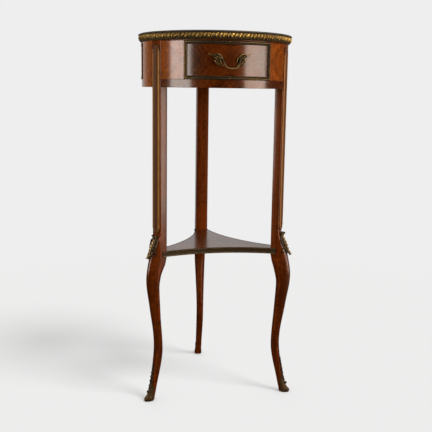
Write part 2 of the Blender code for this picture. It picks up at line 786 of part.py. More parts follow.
def build_shelf():
    edge = shelf_edge()
    reach = POST_INNER - FIT
    tenon = [
        (reach, -TENON_WIDTH / 2),
        (reach + TENON_LENGTH, -TENON_WIDTH / 2),
        (reach + TENON_LENGTH, TENON_WIDTH / 2),
        (reach, TENON_WIDTH / 2),
    ]
    outline = []
    for leg in sorted(LEG_ANGLES.values()):
        outline += turned_plan(tenon, leg)
        outline += turned_plan(edge, leg + LEG_SPACING / 2)
    place("shelf_board", sheet(outline, SHELF_BOTTOM, SHELF_TOP), SHELF_VENEER)

    def offset_edge(distance):
        """The edge moved outwards, with its ends carried along the sides of the legs."""
        along_leg = math.radians(LEG_SPACING / 2)
        side = LEG_WIDTH / 2 + distance
        points = []
        for start in (-1, 1):
            line = []
            for far in (reach + BAND_RETURN, reach):
                x = far * math.cos(along_leg) + side * math.sin(along_leg)
                y = far * math.sin(along_leg) - side * math.cos(along_leg)
                line.append((x, start * y))
            points.append(line)
        middle = []
        for (x0, y0), (x1, y1), (x2, y2) in zip(edge, edge[1:], edge[2:]):
            length = math.hypot(x2 - x0, y2 - y0)
            middle.append((x1 + distance * (y2 - y0) / length, y1 - distance * (x2 - x0) / length))
        return points[0] + middle + list(reversed(points[1]))

    band = offset_edge(FIT) + list(reversed(offset_edge(FIT + BAND_THICKNESS)))
    for name, angle in BAY_ANGLES.items():
        outline = turned_plan(band, angle)
        place(f"shelf_band_{name}", sheet(outline, SHELF_BOTTOM, SHELF_TOP), GILT_BRASS)


# Brass borders on the drawer front and on the two back panels
BORDER_PROFILE = ((0.0, 0.0), (0.0, 0.6), (0.22, 1.0), (0.5, 0.5), (0.78, 1.0), (1.0, 0.6), (1.0, 0.0))


def on_drum(angle, height, out):
    """A point above the drum's face."""
    radius = DRUM_RADIUS + FIT + out
    return Vector((radius * math.cos(angle), radius * math.sin(angle), height))


def build_border(prefix, centre, parent=None):
    """Four mitred strips round a rectangle on the drum."""
    middle = math.radians(centre)
    half = math.asin(DRAWER_WIDTH / 2 / DRUM_RADIUS)
    narrow = BORDER_WIDTH / DRUM_RADIUS
    mitre = FIT / DRUM_RADIUS
    count = math.ceil(2 * half / ARC_STEP) + 1
    for name, edge, inward in (("bottom", DRAWER_BOTTOM, 1.0), ("top", DRAWER_TOP, -1.0)):
        rings = []
        for share in spread(-1.0, 1.0, count):
            ring = []
            for across, up in BORDER_PROFILE:
                angle = middle + share * (half - mitre - narrow * across)
                height = edge + inward * BORDER_WIDTH * across
                ring.append(on_drum(angle, height, BORDER_RELIEF * up))
            rings.append(ring)
        place(f"{prefix}_{name}", loft(rings), GILT_BRASS, parent=parent)
    for name, side in (("left", -1.0), ("right", 1.0)):
        rings = []
        for edge, inward in ((DRAWER_BOTTOM, 1.0), (DRAWER_TOP, -1.0)):
            ring = []
            for across, up in BORDER_PROFILE:
                angle = middle + side * (half - narrow * across)
                height = edge + inward * BORDER_WIDTH * across
                ring.append(on_drum(angle, height, BORDER_RELIEF * up))
            rings.append(ring)
        place(f"{prefix}_{name}", loft(rings), GILT_BRASS, parent=parent)


# Drawer box, and the pieces that carry and stop it
def build_drawer(slide):
    half = DRAWER_WIDTH / 2
    inside = half - DRAWER_SIDE_THICKNESS
    down = math.radians(BAY_ANGLES["front"])
    swing = math.asin(half / DRUM_RADIUS)
    inner_swing = math.asin(inside / FRONT_INNER)
    outline = arc(DRUM_RADIUS, down - swing, down + swing)
    outline += [(half, FRONT_LAND)]
    outline += arc(FRONT_INNER, down + inner_swing, down - inner_swing)
    outline += [(-half, FRONT_LAND)]
    front = place("drawer_front", sheet(outline, DRAWER_BOTTOM, DRAWER_TOP), DRUM_VENEER, parent=slide)
    for name, side in (("left", -1), ("right", 1)):
        x = side * HANDLE_SPACING / 2
        start = Vector((x, -DRUM_RADIUS - SHANK_RADIUS, PIVOT_Z))
        end = Vector((x, -FRONT_INNER + 2 * DRAWER_FRONT_THICKNESS, PIVOT_Z))
        cut(front, cutter(f"shank_hole_{name}", rod(SHANK_RADIUS + FIT, start, end)))

    groove_low = SIDE_BOTTOM + DRAWER_BOTTOM_LIFT - FIT
    groove_high = SIDE_BOTTOM + DRAWER_BOTTOM_LIFT + DRAWER_BOTTOM_THICKNESS + FIT
    profile = (
        (inside, SIDE_BOTTOM),
        (half, SIDE_BOTTOM),
        (half, SIDE_TOP),
        (inside, SIDE_TOP),
        (inside, groove_high),
        (inside + GROOVE_DEPTH, groove_high),
        (inside + GROOVE_DEPTH, groove_low),
        (inside, groove_low),
    )
    for name, side in (("left", -1.0), ("right", 1.0)):
        outline = [(side * x, z) for x, z in profile]
        board = sheet(outline, FRONT_LAND + FIT, DRAWER_BACK, upright=True)
        place(f"drawer_side_{name}", board, PLAIN_WOOD, parent=slide)

    bottom_low = SIDE_BOTTOM + DRAWER_BOTTOM_LIFT
    bottom_high = bottom_low + DRAWER_BOTTOM_THICKNESS
    back = box(
        (FIT - inside, inside - FIT),
        (DRAWER_BACK - DRAWER_BACK_THICKNESS, DRAWER_BACK),
        (bottom_high + FIT, SIDE_TOP),
    )
    place("drawer_back", back, PLAIN_WOOD, parent=slide)
    tongue = inside + GROOVE_DEPTH - FIT
    bottom_swing = math.asin((inside - FIT) / (FRONT_INNER - FIT))
    outline = [(tongue, DRAWER_BACK), (-tongue, DRAWER_BACK), (-tongue, FRONT_LAND + FIT)]
    outline += arc(FRONT_INNER - FIT, down - bottom_swing, down + bottom_swing)
    outline += [(tongue, FRONT_LAND + FIT)]
    place("drawer_bottom", sheet(outline, bottom_low, bottom_high), PLAIN_WOOD, parent=slide)


def build_carriers():
    room = POST_INNER - FIT
    for name, side in (("left", -1.0), ("right", 1.0)):
        near = OPENING_HALF
        far = near + GUIDE_WIDTH
        reach = math.sqrt(room ** 2 - far ** 2) - FIT
        across = sorted((side * near, side * far))
        guide = box(across, (-reach, reach), (FLOOR_TOP + FIT, FLOOR_TOP + FIT + GUIDE_HEIGHT))
        place(f"drawer_guide_{name}", guide, PLAIN_WOOD)
        near = DRAWER_WIDTH / 2 - DRAWER_SIDE_THICKNESS
        far = DRAWER_WIDTH / 2
        reach = math.sqrt(room ** 2 - far ** 2) - FIT
        start = max(-reach, FRONT_LAND + DRAWER_GAP)
        across = sorted((side * near, side * far))
        kicker = box(across, (start, reach), (SIDE_TOP + KICKER_GAP, FRIEZE_TOP))
        place(f"drawer_kicker_{name}", kicker, PLAIN_WOOD)
        middle = side * STOP_SPACING / 2
        stop = box(
            (middle - STOP_WIDTH / 2, middle + STOP_WIDTH / 2),
            (DRAWER_BACK + FIT, DRAWER_BACK + FIT + STOP_DEPTH),
            (FLOOR_TOP + FIT, FLOOR_TOP + FIT + STOP_HEIGHT),
        )
        place(f"drawer_stop_{name}", stop, PLAIN_WOOD)


# Drop handle: two leafy mounts with posts, their nuts, and the bail
def leaf_mesh(side):
    """Leaf on the drum's face, from an outer tip down past the post to an inner tail."""
    post = side * HANDLE_SPACING / 2
    route_x = (
        (0.0, LEAF_LENGTH),
        (0.35, 0.55 * LEAF_LENGTH),
        (0.65, 0.1 * LEAF_LENGTH),
        (1.0, -0.3 * LEAF_LENGTH),
    )
    route_z = ((0.0, LEAF_RISE), (0.35, 0.72 * LEAF_RISE), (0.65, 0.0), (1.0, -LEAF_TAIL))
    width = ((0.0, 0.14), (0.2, 0.62), (0.45, 1.0), (0.7, 0.9), (0.88, 0.5), (1.0, 0.12))
    relief = ((0.0, 0.3), (0.3, 0.75), (0.6, 1.0), (0.85, 0.6), (1.0, 0.25))
    section = (
        (-1.0, 0.0),
        (1.0, 0.0),
        (0.92, 0.4),
        (0.5, 0.85),
        (0.2, 0.72),
        (-0.2, 1.0),
        (-0.6, 0.75),
        (-0.92, 0.35),
    )
    rings = []
    for share in spread(0.0, 1.0, 12):
        ahead = min(1.0, share + 0.02)
        behind = max(0.0, share - 0.02)
        run_x = smooth(route_x, ahead) - smooth(route_x, behind)
        run_z = smooth(route_z, ahead) - smooth(route_z, behind)
        run = Vector((run_x, run_z)).normalized()
        lobe = 1.0 + 0.1 * math.cos(6.0 * math.pi * share)
        half = LEAF_HALF_WIDTH * smooth(width, share) * lobe
        rise = LEAF_RELIEF * smooth(relief, share)
        ring = []
        for across, up in section:
            x = post + side * (smooth(route_x, share) - run.y * half * across)
            z = PIVOT_Z + smooth(route_z, share) + run.x * half * across
            y = -math.sqrt((DRUM_RADIUS + FIT) ** 2 - x * x) - rise * up
            ring.append(Vector((x, y, z)))
        rings.append(ring)
    return loft(rings)


def handle_mount_mesh(side):
    """Leaf, post head and threaded shank in one casting, with the hole for the bail's pin."""
    x = side * HANDLE_SPACING / 2
    seat = -math.sqrt(DRUM_RADIUS ** 2 - (HANDLE_SPACING / 2 - POST_HEAD_RADIUS) ** 2) - FIT
    nut_seat = -math.sqrt(FRONT_INNER ** 2 - (HANDLE_SPACING / 2 + NUT_RADIUS) ** 2)
    inner = nut_seat + FIT + NUT_THICKNESS + SHANK_RADIUS / 2
    tip = PIVOT_Y - POST_HEAD_RADIUS
    head = rod(POST_HEAD_RADIUS, Vector((x, tip, PIVOT_Z)), Vector((x, seat, PIVOT_Z)))
    shank = rod(SHANK_RADIUS, Vector((x, seat - SHANK_RADIUS, PIVOT_Z)), Vector((x, inner, PIVOT_Z)))
    solid = combined("handle_mount", leaf_mesh(side), [head, shank], "UNION")
    pivot = Vector((x, PIVOT_Y, PIVOT_Z))
    past = Vector((2 * POST_HEAD_RADIUS, 0.0, 0.0))
    hole = rod(PIN_RADIUS + FIT, pivot - past, pivot + past, 10)
    return combined("handle_mount", solid, [hole], "DIFFERENCE"), nut_seat + FIT


def build_handle(slide):
    for name, side in (("left", -1.0), ("right", 1.0)):
        mesh, nut_start = handle_mount_mesh(side)
        place(f"handle_mount_{name}", mesh, GILT_BRASS, parent=slide)
        x = side * HANDLE_SPACING / 2
        start = Vector((x, nut_start, PIVOT_Z))
        end = Vector((x, nut_start + NUT_THICKNESS, PIVOT_Z))
        past = Vector((0.0, NUT_THICKNESS, 0.0))
        hole = rod(SHANK_RADIUS + FIT, start - past, end + past)
        nut = combined("nut", rod(NUT_RADIUS, start, end, 6), [hole], "DIFFERENCE")
        place(f"handle_nut_{name}", nut, GILT_BRASS, parent=slide)

    inner_face = HANDLE_SPACING / 2 - POST_HEAD_RADIUS
    arm = inner_face - FIT - PIN_RADIUS - BAIL_RADIUS / 2
    pin_end = HANDLE_SPACING / 2 + 0.7 * POST_HEAD_RADIUS
    half_route = [
        (pin_end, 0.0, 0.0, PIN_RADIUS),
        (arm + 2 * PIN_RADIUS, 0.0, 0.0, PIN_RADIUS),
        (arm + PIN_RADIUS, 0.0, -0.02 * BAIL_DROP, PIN_RADIUS),
        (arm + 0.3 * PIN_RADIUS, -0.02 * BAIL_BOW, -0.06 * BAIL_DROP, PIN_RADIUS),
    ]
    for angle in (12.0, 25.0, 38.0, 51.0, 64.0, 77.0, 90.0):
        share = math.sin(math.radians(angle))
        thick = PIN_RADIUS + (BAIL_RADIUS - PIN_RADIUS) * share
        across = arm * math.cos(math.radians(angle)) ** 0.7 if angle < 90.0 else 0.0
        drop = 0.06 + 0.94 * share
        half_route.append((across, -BAIL_BOW * share, -drop * BAIL_DROP, thick))
    route = half_route + [(-x, y, z, r) for x, y, z, r in reversed(half_route[:-1])]
    curve = bpy.data.curves.new("handle_bail", "CURVE")
    curve.dimensions = "3D"
    curve.bevel_depth = BAIL_RADIUS
    curve.bevel_resolution = 2
    curve.use_fill_caps = True
    spline = curve.splines.new("POLY")
    spline.points.add(len(route) - 1)
    for point, (x, y, z, r) in zip(spline.points, route):
        point.co = (x, y, z, 1.0)
        point.radius = r / BAIL_RADIUS
    hinge = joint_empty("bail_hinge", Vector((0.0, PIVOT_Y, PIVOT_Z)))
    hinge.parent = slide
    hinge.matrix_parent_inverse = Matrix.Translation(-slide.location)
    bail = bpy.data.objects.new("handle_bail", curve)
    PARTS.objects.link(bail)
    bail.parent = hinge
    finish(bail, GILT_BRASS)


# Corner blocks behind the legs, and the screws that hold the top down
def build_fixings(board):
    outer = POST_INNER - FIT
    inner = outer - BLOCK_DEPTH
    low = FRIEZE_TOP - BLOCK_HEIGHT
    middle = (outer + inner) / 2
    half = LEG_WIDTH / 2
    below = Vector((middle, 0.0, low - BLOCK_HEIGHT))
    hole = rod(SCREW_RADIUS + FIT, below, Vector((middle, 0.0, TABLE_HEIGHT)))
    blank = box((inner, outer), (-half, half), (low, FRIEZE_TOP))
    block = combined("block", blank, [hole], "DIFFERENCE")
    tip = BOARD_TOP - SCREW_COVER
    head = low - FIT
    profile = (
        (0.0, tip),
        (SCREW_RADIUS, tip),
        (SCREW_RADIUS, head),
        (SCREW_HEAD_RADIUS, head),
        (SCREW_HEAD_RADIUS, head - SCREW_HEAD_HEIGHT),
        (0.0, head - SCREW_HEAD_HEIGHT),
    )
    screw = turned(profile, 12)
    screw.transform(Matrix.Translation((middle, 0.0, 0.0)))
    for name, angle in LEG_ANGLES.items():
        place(f"corner_block_{name}", block.copy(), PLAIN_WOOD, angle)
        place(f"top_screw_{name}", screw.copy(), STEEL, angle)
        bite = rod(SCREW_RADIUS + FIT, Vector((middle, 0.0, low)), Vector((middle, 0.0, tip + FIT)))
        tool = cutter(f"screw_hole_{name}", bite)
        tool.rotation_euler = (0.0, 0.0, math.radians(angle))
        cut(board, tool)


def build_table():
    board = build_top()
    build_drum()
    build_legs()
    build_shelf()
    build_carriers()
    build_fixings(board)
    slide = joint_empty("drawer_slide", Vector((0.0, -DRUM_RADIUS, (DRAWER_BOTTOM + DRAWER_TOP) / 2)))
    build_drawer(slide)
    build_border("drawer_border", BAY_ANGLES["front"], slide)
    build_border("panel_border_right", BAY_ANGLES["back_right"])
    build_border("panel_border_left", BAY_ANGLES["back_left"])
    build_handle(slide)


build_table()
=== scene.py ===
"""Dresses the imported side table: polished veneers, gilt mounts, a plain studio and the camera.

The table's axis is Z, the floor is at zero height and the drawer faces -Y. All sizes are in metres.
"""

import functools
import math

import bmesh
import bpy
from bpy.props import FloatProperty, FloatVectorProperty, IntProperty, PointerProperty
from mathutils import Matrix, Vector


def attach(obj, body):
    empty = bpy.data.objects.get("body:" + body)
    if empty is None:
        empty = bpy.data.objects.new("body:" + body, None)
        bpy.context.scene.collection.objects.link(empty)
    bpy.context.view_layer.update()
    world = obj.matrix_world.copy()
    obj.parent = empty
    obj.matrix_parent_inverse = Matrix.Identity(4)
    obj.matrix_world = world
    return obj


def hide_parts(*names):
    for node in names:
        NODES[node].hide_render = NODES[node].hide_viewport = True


bl_info = {
    "name": "Round side table",
    "version": (1, 0, 0),
    "blender": (4, 5, 0),
    "location": "View3D > Sidebar > Side table",
    "description": "Dresses a round side table with veneers, gilt mounts, a studio and a camera",
    "category": "Object",
}

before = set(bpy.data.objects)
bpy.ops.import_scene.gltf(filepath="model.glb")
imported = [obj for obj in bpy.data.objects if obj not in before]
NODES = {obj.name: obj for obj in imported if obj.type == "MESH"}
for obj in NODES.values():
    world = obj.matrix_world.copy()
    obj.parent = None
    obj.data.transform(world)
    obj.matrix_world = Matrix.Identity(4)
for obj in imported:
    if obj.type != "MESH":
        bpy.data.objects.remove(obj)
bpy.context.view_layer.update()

# Plan angles of the legs and of the bays between them
LEGS = {"front_left": 210.0, "front_right": 330.0, "back": 90.0}
BAYS = {"front": 270.0, "back_left": 150.0, "back_right": 30.0}
LEG_SPACING = 120.0

MM = 0.001


def metres(*points):
    """Points that are given in millimetres."""
    return [tuple(part * MM for part in point) for point in points]


def sized(*stations, unit=MM):
    """Stations of a share and a size, which is given in millimetres or in another unit."""
    return [(share, size * unit) for share, size in stations]


# Sizes of the solids and of the pieces that stand for them
FIT = 0.3 * MM
TABLE_HEIGHT = 760.0 * MM
TOP_SURFACE = 757.8 * MM
TOP_RADIUS = 150.0 * MM
TOP_PANEL_DEPTH = 1.5 * MM
RIM_INNER = 150.3 * MM
RIM_BACK = 153.3 * MM
RIM_EDGE = 157.8 * MM
RIM_BOTTOM = 745.5 * MM
RIM_FOOT = 742.6 * MM
DRUM_RADIUS = 152.7 * MM
DRUM_INNER = 134.9 * MM
FRIEZE_TOP = 745.2 * MM
FRIEZE_BOTTOM = 652.5 * MM
RAIL_TOP = 668.0 * MM
UPPER_RAIL_BOTTOM = 741.0 * MM
DRAWER_BOTTOM = 668.5 * MM
DRAWER_TOP = 740.5 * MM
DRAWER_HALF = 84.5 * MM
DRAWER_INSIDE = 76.5 * MM
DRAWER_FRONT_INNER = 135.7 * MM
OPENING_HALF = 85.0 * MM
LEG_WIDTH = 27.5 * MM
POST_OUTER = 151.4 * MM
POST_INNER = 134.9 * MM
SHELF_TOP = 321.0 * MM
SHELF_BOTTOM = 309.0 * MM
SHELF_HOLLOW = 19.86 * MM
BAND_RETURN = 12.0 * MM
BORDER_WIDTH = 5.0 * MM
STRIP_BOTTOM = 359.5 * MM
STRIP_TOP = 735.5 * MM
STRIP_WIDTH = 23.5 * MM
STRIP_CAP = 14.0 * MM
LEG_FOOT = 1.5 * MM
LEG_BEND = 360.0 * MM
PIVOT_Y = -168.7 * MM
PIVOT_Z = 707.5 * MM
POST_SPACING = 44.0 * MM
POST_END = -127.8 * MM
BAIL_DROP = 17.0 * MM
EASED_EDGE = 0.25 * MM
SHELF_EASED = 0.3 * MM

# Curves of the leg as stations of a height and how far it stands beyond the post
OUTER_STATIONS = metres(
    (0.0, 20.0), (40.0, 13.2), (112.0, 4.2), (200.0, 16.2), (262.0, 24.6), (300.0, 19.0), (353.0, 0.0)
)
INNER_STATIONS = metres(
    (0.0, 25.6), (20.0, 21.6), (112.0, 4.2), (200.0, 9.2), (245.0, 11.6), (277.0, 5.6), (308.7, 0.0)
)
WIDTH_STATIONS = metres((0.0, 13.2), (112.0, 14.8), (200.0, 20.4), (245.0, 24.2), (308.7, 27.5))
CORNER_STATIONS = metres((262.0, 3.2), (308.7, 1.5))
CORNER_LIMITS = (0.62, 0.34)

# Carving of the curve as (height, share) stations, and how deep and wide it goes into the section
RIDGE_STATIONS = ((86.0 * MM, 0.0), (176.0 * MM, 1.0), (300.0 * MM, 1.0), (353.0 * MM, 0.0))
BACK_STATIONS = ((86.0 * MM, 0.0), (176.0 * MM, 1.0), (268.0 * MM, 1.0), (294.0 * MM, 0.0))
RIDGE_SHARES = (0.6, 0.81)
BACK_SHARES = (0.32, 0.78)
CORNER_STEPS = 6
SLOPE_BULGE = 0.45
CORNER_WEAR = 1.125
CORNER_WEAR_FALL = 0.25
SLOPE_WEAR = 0.5

# Rim: steps to a leaf, share of the bead row, slant of the leaves, and the carved part of the section as
# (radius, height above its foot, carved share, relief of the plain part), in millimetres
RIM_STEPS = 13
BEAD_START = 0.8 * MM
BEAD_SHARE = 0.24
BEAD_WIDTH = 0.85
BEAD_SHADE = 0.6
LEAF_SLANT = 1.0
LEAF_WEAR = 0.74
RIM_CARVING = (
    (154.2, 0.0, 0.0, 0.2), (154.9, 0.7, 0.1, 0.3), (155.3, 1.5, 0.4, 0.1), (155.9, 2.3, 0.7, 0.0),
    (156.5, 3.1, 0.9, 0.0), (157.1, 3.9, 1.0, 0.0), (157.6, 4.8, 1.0, 0.0), (158.0, 5.7, 1.0, 0.0),
    (158.3, 6.7, 1.0, 0.0), (158.6, 7.7, 1.0, 0.0), (158.7, 8.7, 1.0, 0.0), (158.7, 9.7, 1.0, 0.0),
    (158.5, 10.7, 1.0, 0.0), (158.2, 11.7, 0.8, 0.0),
)
LIP_RADIUS = 157.0 * MM
LIP_SWELL = 3.0 * MM

# Strip: half of its section as (share of half its width, height in millimetres, relief), turns of its round
# ends in degrees, and the pearls
STRIP_PROFILE = (
    (1.0, 0.0, 0.1), (1.0, 0.9, 0.4), (0.95, 1.7, 0.85), (0.86, 2.3, 1.0), (0.74, 2.6, 0.9),
    (0.6, 2.6, 0.55), (0.44, 2.4, 0.3), (0.34, 1.8, 0.1), (0.26, 0.9, 0.0), (0.12, 0.5, 0.0),
)
STRIP_TURNS = (6.0, 18.0, 30.0, 45.0, 60.0, 75.0, 90.0)
STRIP_CAP_TONE = 0.3
STRIP_PIN_INSET = 5.0 * MM
PEARL_PLACE = 0.72
PEARL_RADIUS = 2.2 * MM
PEARL_HEIGHT = 1.3 * MM
PEARL_SEAT = 1.9 * MM
PEARL_TONE = 0.9

# Knee mount in millimetres: the scroll beside its leaf and the curl below it as (round the leg, height), and
# its cup as (height, depth, half width)
KNEE_LEAF = metres((0.0, 349.0), (0.0, 335.0), (0.0, 321.0), (0.0, 306.0))
KNEE_SCROLL = (
    (3.0, 310.0), (5.2, 318.0), (8.4, 327.0), (10.6, 335.6), (10.2, 342.6), (7.4, 345.6), (5.6, 342.6)
)
KNEE_CURL = ((5.4, 322.0), (9.6, 321.0), (12.4, 316.6), (10.8, 312.4), (8.0, 313.8))
KNEE_CUP = (
    (332.0, 5.0, 4.0), (338.0, 7.2, 5.4), (344.0, 7.8, 6.0), (348.0, 8.4, 6.4), (351.0, 10.0, 7.2),
    (353.2, 11.8, 8.2), (354.4, 12.0, 8.2), (353.6, 9.6, 6.4), (351.6, 6.4, 4.6),
)

# Shoe: how far its toe swells at a height, the share of its outline that is round, the depth of its nose
# and of its open heel, its swell at the sides, the leaf up the shin and the knob
SHOE_TOE = metres((0.0, 9.6), (5.0, 11.8), (10.0, 7.6), (18.0, 3.8), (36.0, 1.8))
SHOE_ROUND = 0.62
SHOE_NOSE = 0.72
SHOE_HEEL = 0.52
SHOE_SIDE = 0.13
SHOE_LEAF = metres((0.0, 24.0), (0.0, 42.0), (0.0, 60.0), (0.0, 77.0))
KNOB_HEIGHT = 19.0 * MM
KNOB_RADIUS = 3.2 * MM
KNOB_SEAT = 4.0 * MM

# Section of the shelf's band as (out, height, relief), in millimetres
BAND_PROFILE = (
    (0.0, 309.0, 0.1), (1.0, 309.0, 0.2), (1.7, 309.6, 0.6), (1.9, 310.8, 0.9), (1.5, 312.0, 0.4),
    (1.0, 312.6, 0.15), (1.2, 315.0, 0.5), (1.0, 317.4, 0.15), (1.5, 318.0, 0.4), (1.9, 319.2, 0.8),
    (1.7, 320.6, 0.4), (1.0, 321.3, 0.2), (0.0, 321.3, 0.1),
)
BAND_TONE = 0.5

# Section of a border as (share of its width, height in millimetres, relief); flats without relief take the
# dark patina, and the low flats that reach past the border on both sides are partly dirt and partly painted
# shade along its edges
BORDER_PROFILE = (
    (-0.1, 0.0, 0.0), (-0.1, 0.4, 0.0), (0.16, 0.5, 0.0), (0.24, 1.0, 0.3), (0.34, 1.5, 0.7),
    (0.46, 1.5, 0.7), (0.56, 1.0, 0.3), (0.62, 0.5, 0.0), (0.86, 0.4, 0.0), (0.92, 1.0, 0.5),
    (1.02, 1.5, 0.9), (1.12, 1.0, 0.5), (1.18, 0.5, 0.0), (1.34, 0.4, 0.0), (1.34, 0.0, 0.0),
)

# Handle in millimetres about a post: leaves as (path, half width, lobes), scrolls as (path, half width), the
# post as (radius, out, relief) about its seat and about the pivot, half of the bail as (across, out, up,
# radius) about the pivot, and the leaf on its arm
HANDLE_LEAVES = (
    (((-7.6, -2.6), (-3.0, 3.4), (4.0, 6.2), (12.6, 5.6)), 2.2, 5),
    (((-5.4, -5.6), (0.0, -1.6), (5.0, 1.6), (11.0, 4.2)), 2.0, 4),
    (((-5.0, -10.0), (-0.4, -7.6), (3.2, -4.4), (6.4, -0.6)), 2.2, 4),
)
TOP_SCROLL = (
    (-9.2, -6.4), (-8.0, -1.0), (-5.2, 3.6), (-0.6, 7.4), (4.6, 8.0), (9.6, 6.4), (14.4, 6.6), (19.4, 9.2)
)
HANDLE_SCROLLS = (
    (TOP_SCROLL, 1.3),
    (((-10.6, -15.0), (-6.2, -11.0), (-2.6, -4.6), (1.0, 1.2), (5.2, 4.4), (9.2, 4.6)), 1.15),
    (((-6.6, -14.6), (-1.6, -10.6), (2.4, -5.4), (5.6, -0.6), (9.8, 2.2)), 1.1),
    (((-1.0, -13.6), (3.2, -10.2), (6.0, -6.0), (9.0, -3.0)), 0.9),
)
POST_SHANK = 2.0
POST_BASE = ((2.0, 2.0, 0.2), (6.0, 0.4, 0.2), (5.6, -2.6, 0.6), (3.4, -5.0, 0.3), (2.7, -8.0, 0.4))
POST_EYE = ((2.9, 4.0, 0.5), (3.2, 2.4, 0.4), (3.2, -1.4, 0.4), (2.3, -2.9, 0.45), (0.8, -3.4, 0.5))
HALF_BAIL = (
    (24.3, 0.0, 0.0, 1.2), (20.0, 0.0, 0.0, 1.2), (18.0, 0.0, -0.6, 1.2), (16.8, -0.2, -2.4, 1.2),
    (15.9, -1.0, -5.4, 1.2), (14.8, -2.0, -9.4, 1.3), (12.9, -3.0, -13.4, 1.4), (10.2, -3.8, -16.8, 1.5),
    (6.8, -4.2, -18.6, 1.6), (3.4, -4.3, -19.2, 1.5), (0.0, -4.3, -19.4, 1.8),
)

SLEEVE_PATH = metres((0.0, -2.0), (0.0, -6.0), (0.0, -10.0), (0.0, -14.0))

# Finishes: slices and shares of the grain, and how they shine
BAY_SLICE = 0.37
SECTOR_SLICE = 0.11
PORE_SHARE = 0.55
PORE_TONE = 0.45
WORN_TONE = 1.5
GLOSS_RANGE = 0.12
WARM_GLOW = (1.0, 0.5, 0.2, 1.0)
GRAIN_STRETCH = 0.07
GRAIN_FIGURE = 0.2
COAT_ROUGHNESS = 0.17
WOOD_SPECULAR = 0.16
BRASS_SPECULAR = 0.2
BRASS_SHINE = 0.92
MOUNT_SHINE = 0.75
STRIP_SHINE = 0.35

# Stage: softboxes as (place, size, tint), the high lamp, the floor and the camera in degrees and metres
SOFTBOXES = {
    "right": ((1.514, -1.171, 0.86), (1.25, 1.7), (1.0, 0.87, 0.76)),
    "left": ((-1.655, -0.843, 1.0), (1.1, 1.5), (1.0, 0.96, 0.92)),
    "back": ((0.5, 1.9, 1.1), (1.5, 1.6), (1.0, 0.96, 0.92)),
}
LAMP_PLACE = (0.93, -0.81, 1.9)
LAMP_AIM = (0.0, 0.0, 0.1)
LAMP_ANGLE = 20.0
LAMP_TINT = (1.0, 0.98, 0.96)
FLOOR_RADIUS = 9.0
FLOOR_DEPTH = 0.02
FLOOR_MATTE = (0.342, 0.35, 0.358, 1.0)
ROOM_TINT = (0.9, 0.55, 0.32, 1.0)
CAMERA_BEARING = -11.018
CAMERA_TURN = -0.275
CAMERA_PITCH = 10.132
CAMERA_ROLL = 0.854
CAMERA_DISTANCE = 1.53068
CAMERA_HEIGHT = 0.65147
SENSOR_WIDTH = 36.0


def colour(name, description, default):
    """A colour that the user can change."""
    return FloatVectorProperty(
        name=name, description=description, default=default, size=3, subtype="COLOR", min=0.0, max=1.0
    )


def length(name, description, default):
    """A size that the user can change."""
    return FloatProperty(
        name=name, description=description, default=default, unit="LENGTH", min=0.0, precision=4
    )


class TableDetails(bpy.types.PropertyGroup):
    """Sizes of the ornament."""

    rim_leaves: IntProperty(name="Rim leaves", description="Leaves round the rim", default=132, min=12)
    rim_relief: length("Rim relief", "Depth of the leaves on the rim", 2.0 * MM)
    lip_height: length("Lip height", "Height of the dark lip above the leaves", 4.4 * MM)
    pearl_pitch: length("Pearl pitch", "Distance between the pearls of the strips", 4.6 * MM)
    knee_relief: length("Knee relief", "How far the knee mounts stand off the leg", 7.4 * MM)
    handle_relief: length("Handle relief", "How far the handle's leaves stand off the drawer", 4.2 * MM)
    pin_radius: length("Pin radius", "Radius of the heads of the small pins", 1.5 * MM)


class TableColours(bpy.types.PropertyGroup):
    """Colours of the finishes."""

    veneer_light: colour("Veneer, light", "Light streaks of drawer, rails and top", (0.080, 0.0150, 0.0010))
    veneer_dark: colour("Veneer, dark", "Dark streaks of drawer, rails and top", (0.014, 0.0020, 0.0002))
    # The cheek colours are the drum veneer made about three times lighter: painted light for the side light
    # on the cheeks and back panels.
    cheek_light: colour("Cheek, light", "Light streaks of the drum's other panels", (0.235, 0.0560, 0.0040))
    cheek_dark: colour("Cheek, dark", "Dark streaks of the drum's other panels", (0.062, 0.0110, 0.0007))
    leg_light: colour("Leg, light", "Light streaks of the legs", (0.100, 0.0178, 0.0013))
    leg_dark: colour("Leg, dark", "Dark streaks of the legs", (0.036, 0.0060, 0.0005))
    shelf_light: colour("Shelf, light", "Light streaks of the shelf", (0.085, 0.021, 0.0050))
    shelf_dark: colour("Shelf, dark", "Dark streaks of the shelf", (0.030, 0.0065, 0.0018))
    carcase_light: colour("Carcase, light", "Light streaks of the plain wood inside", (0.46, 0.29, 0.15))
    carcase_dark: colour("Carcase, dark", "Dark streaks of the plain wood inside", (0.24, 0.13, 0.06))
    gilt: colour("Gilt", "Rubbed bands of the shelf, and nuts", (0.50, 0.29, 0.085))
    patina: colour("Patina", "Recesses of the mounts", (0.022, 0.012, 0.0035))
    rim: colour("Rim", "Rubbed leaves of the rim", (0.47, 0.285, 0.07))
    mount: colour("Knee mounts", "Rubbed crests of the knee mounts", (0.44, 0.30, 0.145))
    shoe: colour("Shoes", "Rubbed crests of the shoes", (0.150, 0.083, 0.029))
    handle: colour("Handle", "Rubbed crests of the handle", (0.29, 0.185, 0.068))
    border: colour("Borders", "Rubbed beads of the borders", (0.20, 0.12, 0.045))
    strip: colour("Strip", "Rubbed beads of the strips on the posts", (0.25, 0.104, 0.021))
    channel: colour("Channel", "Sunk channel of the strips", (0.055, 0.016, 0.0015))
    lip: colour("Lip", "Dark lip of the rim", (0.074, 0.063, 0.050))
    steel: colour("Steel", "Screws", (0.42, 0.40, 0.37))
    floor: colour("Floor", "Floor and background", (0.855, 0.855, 0.855))


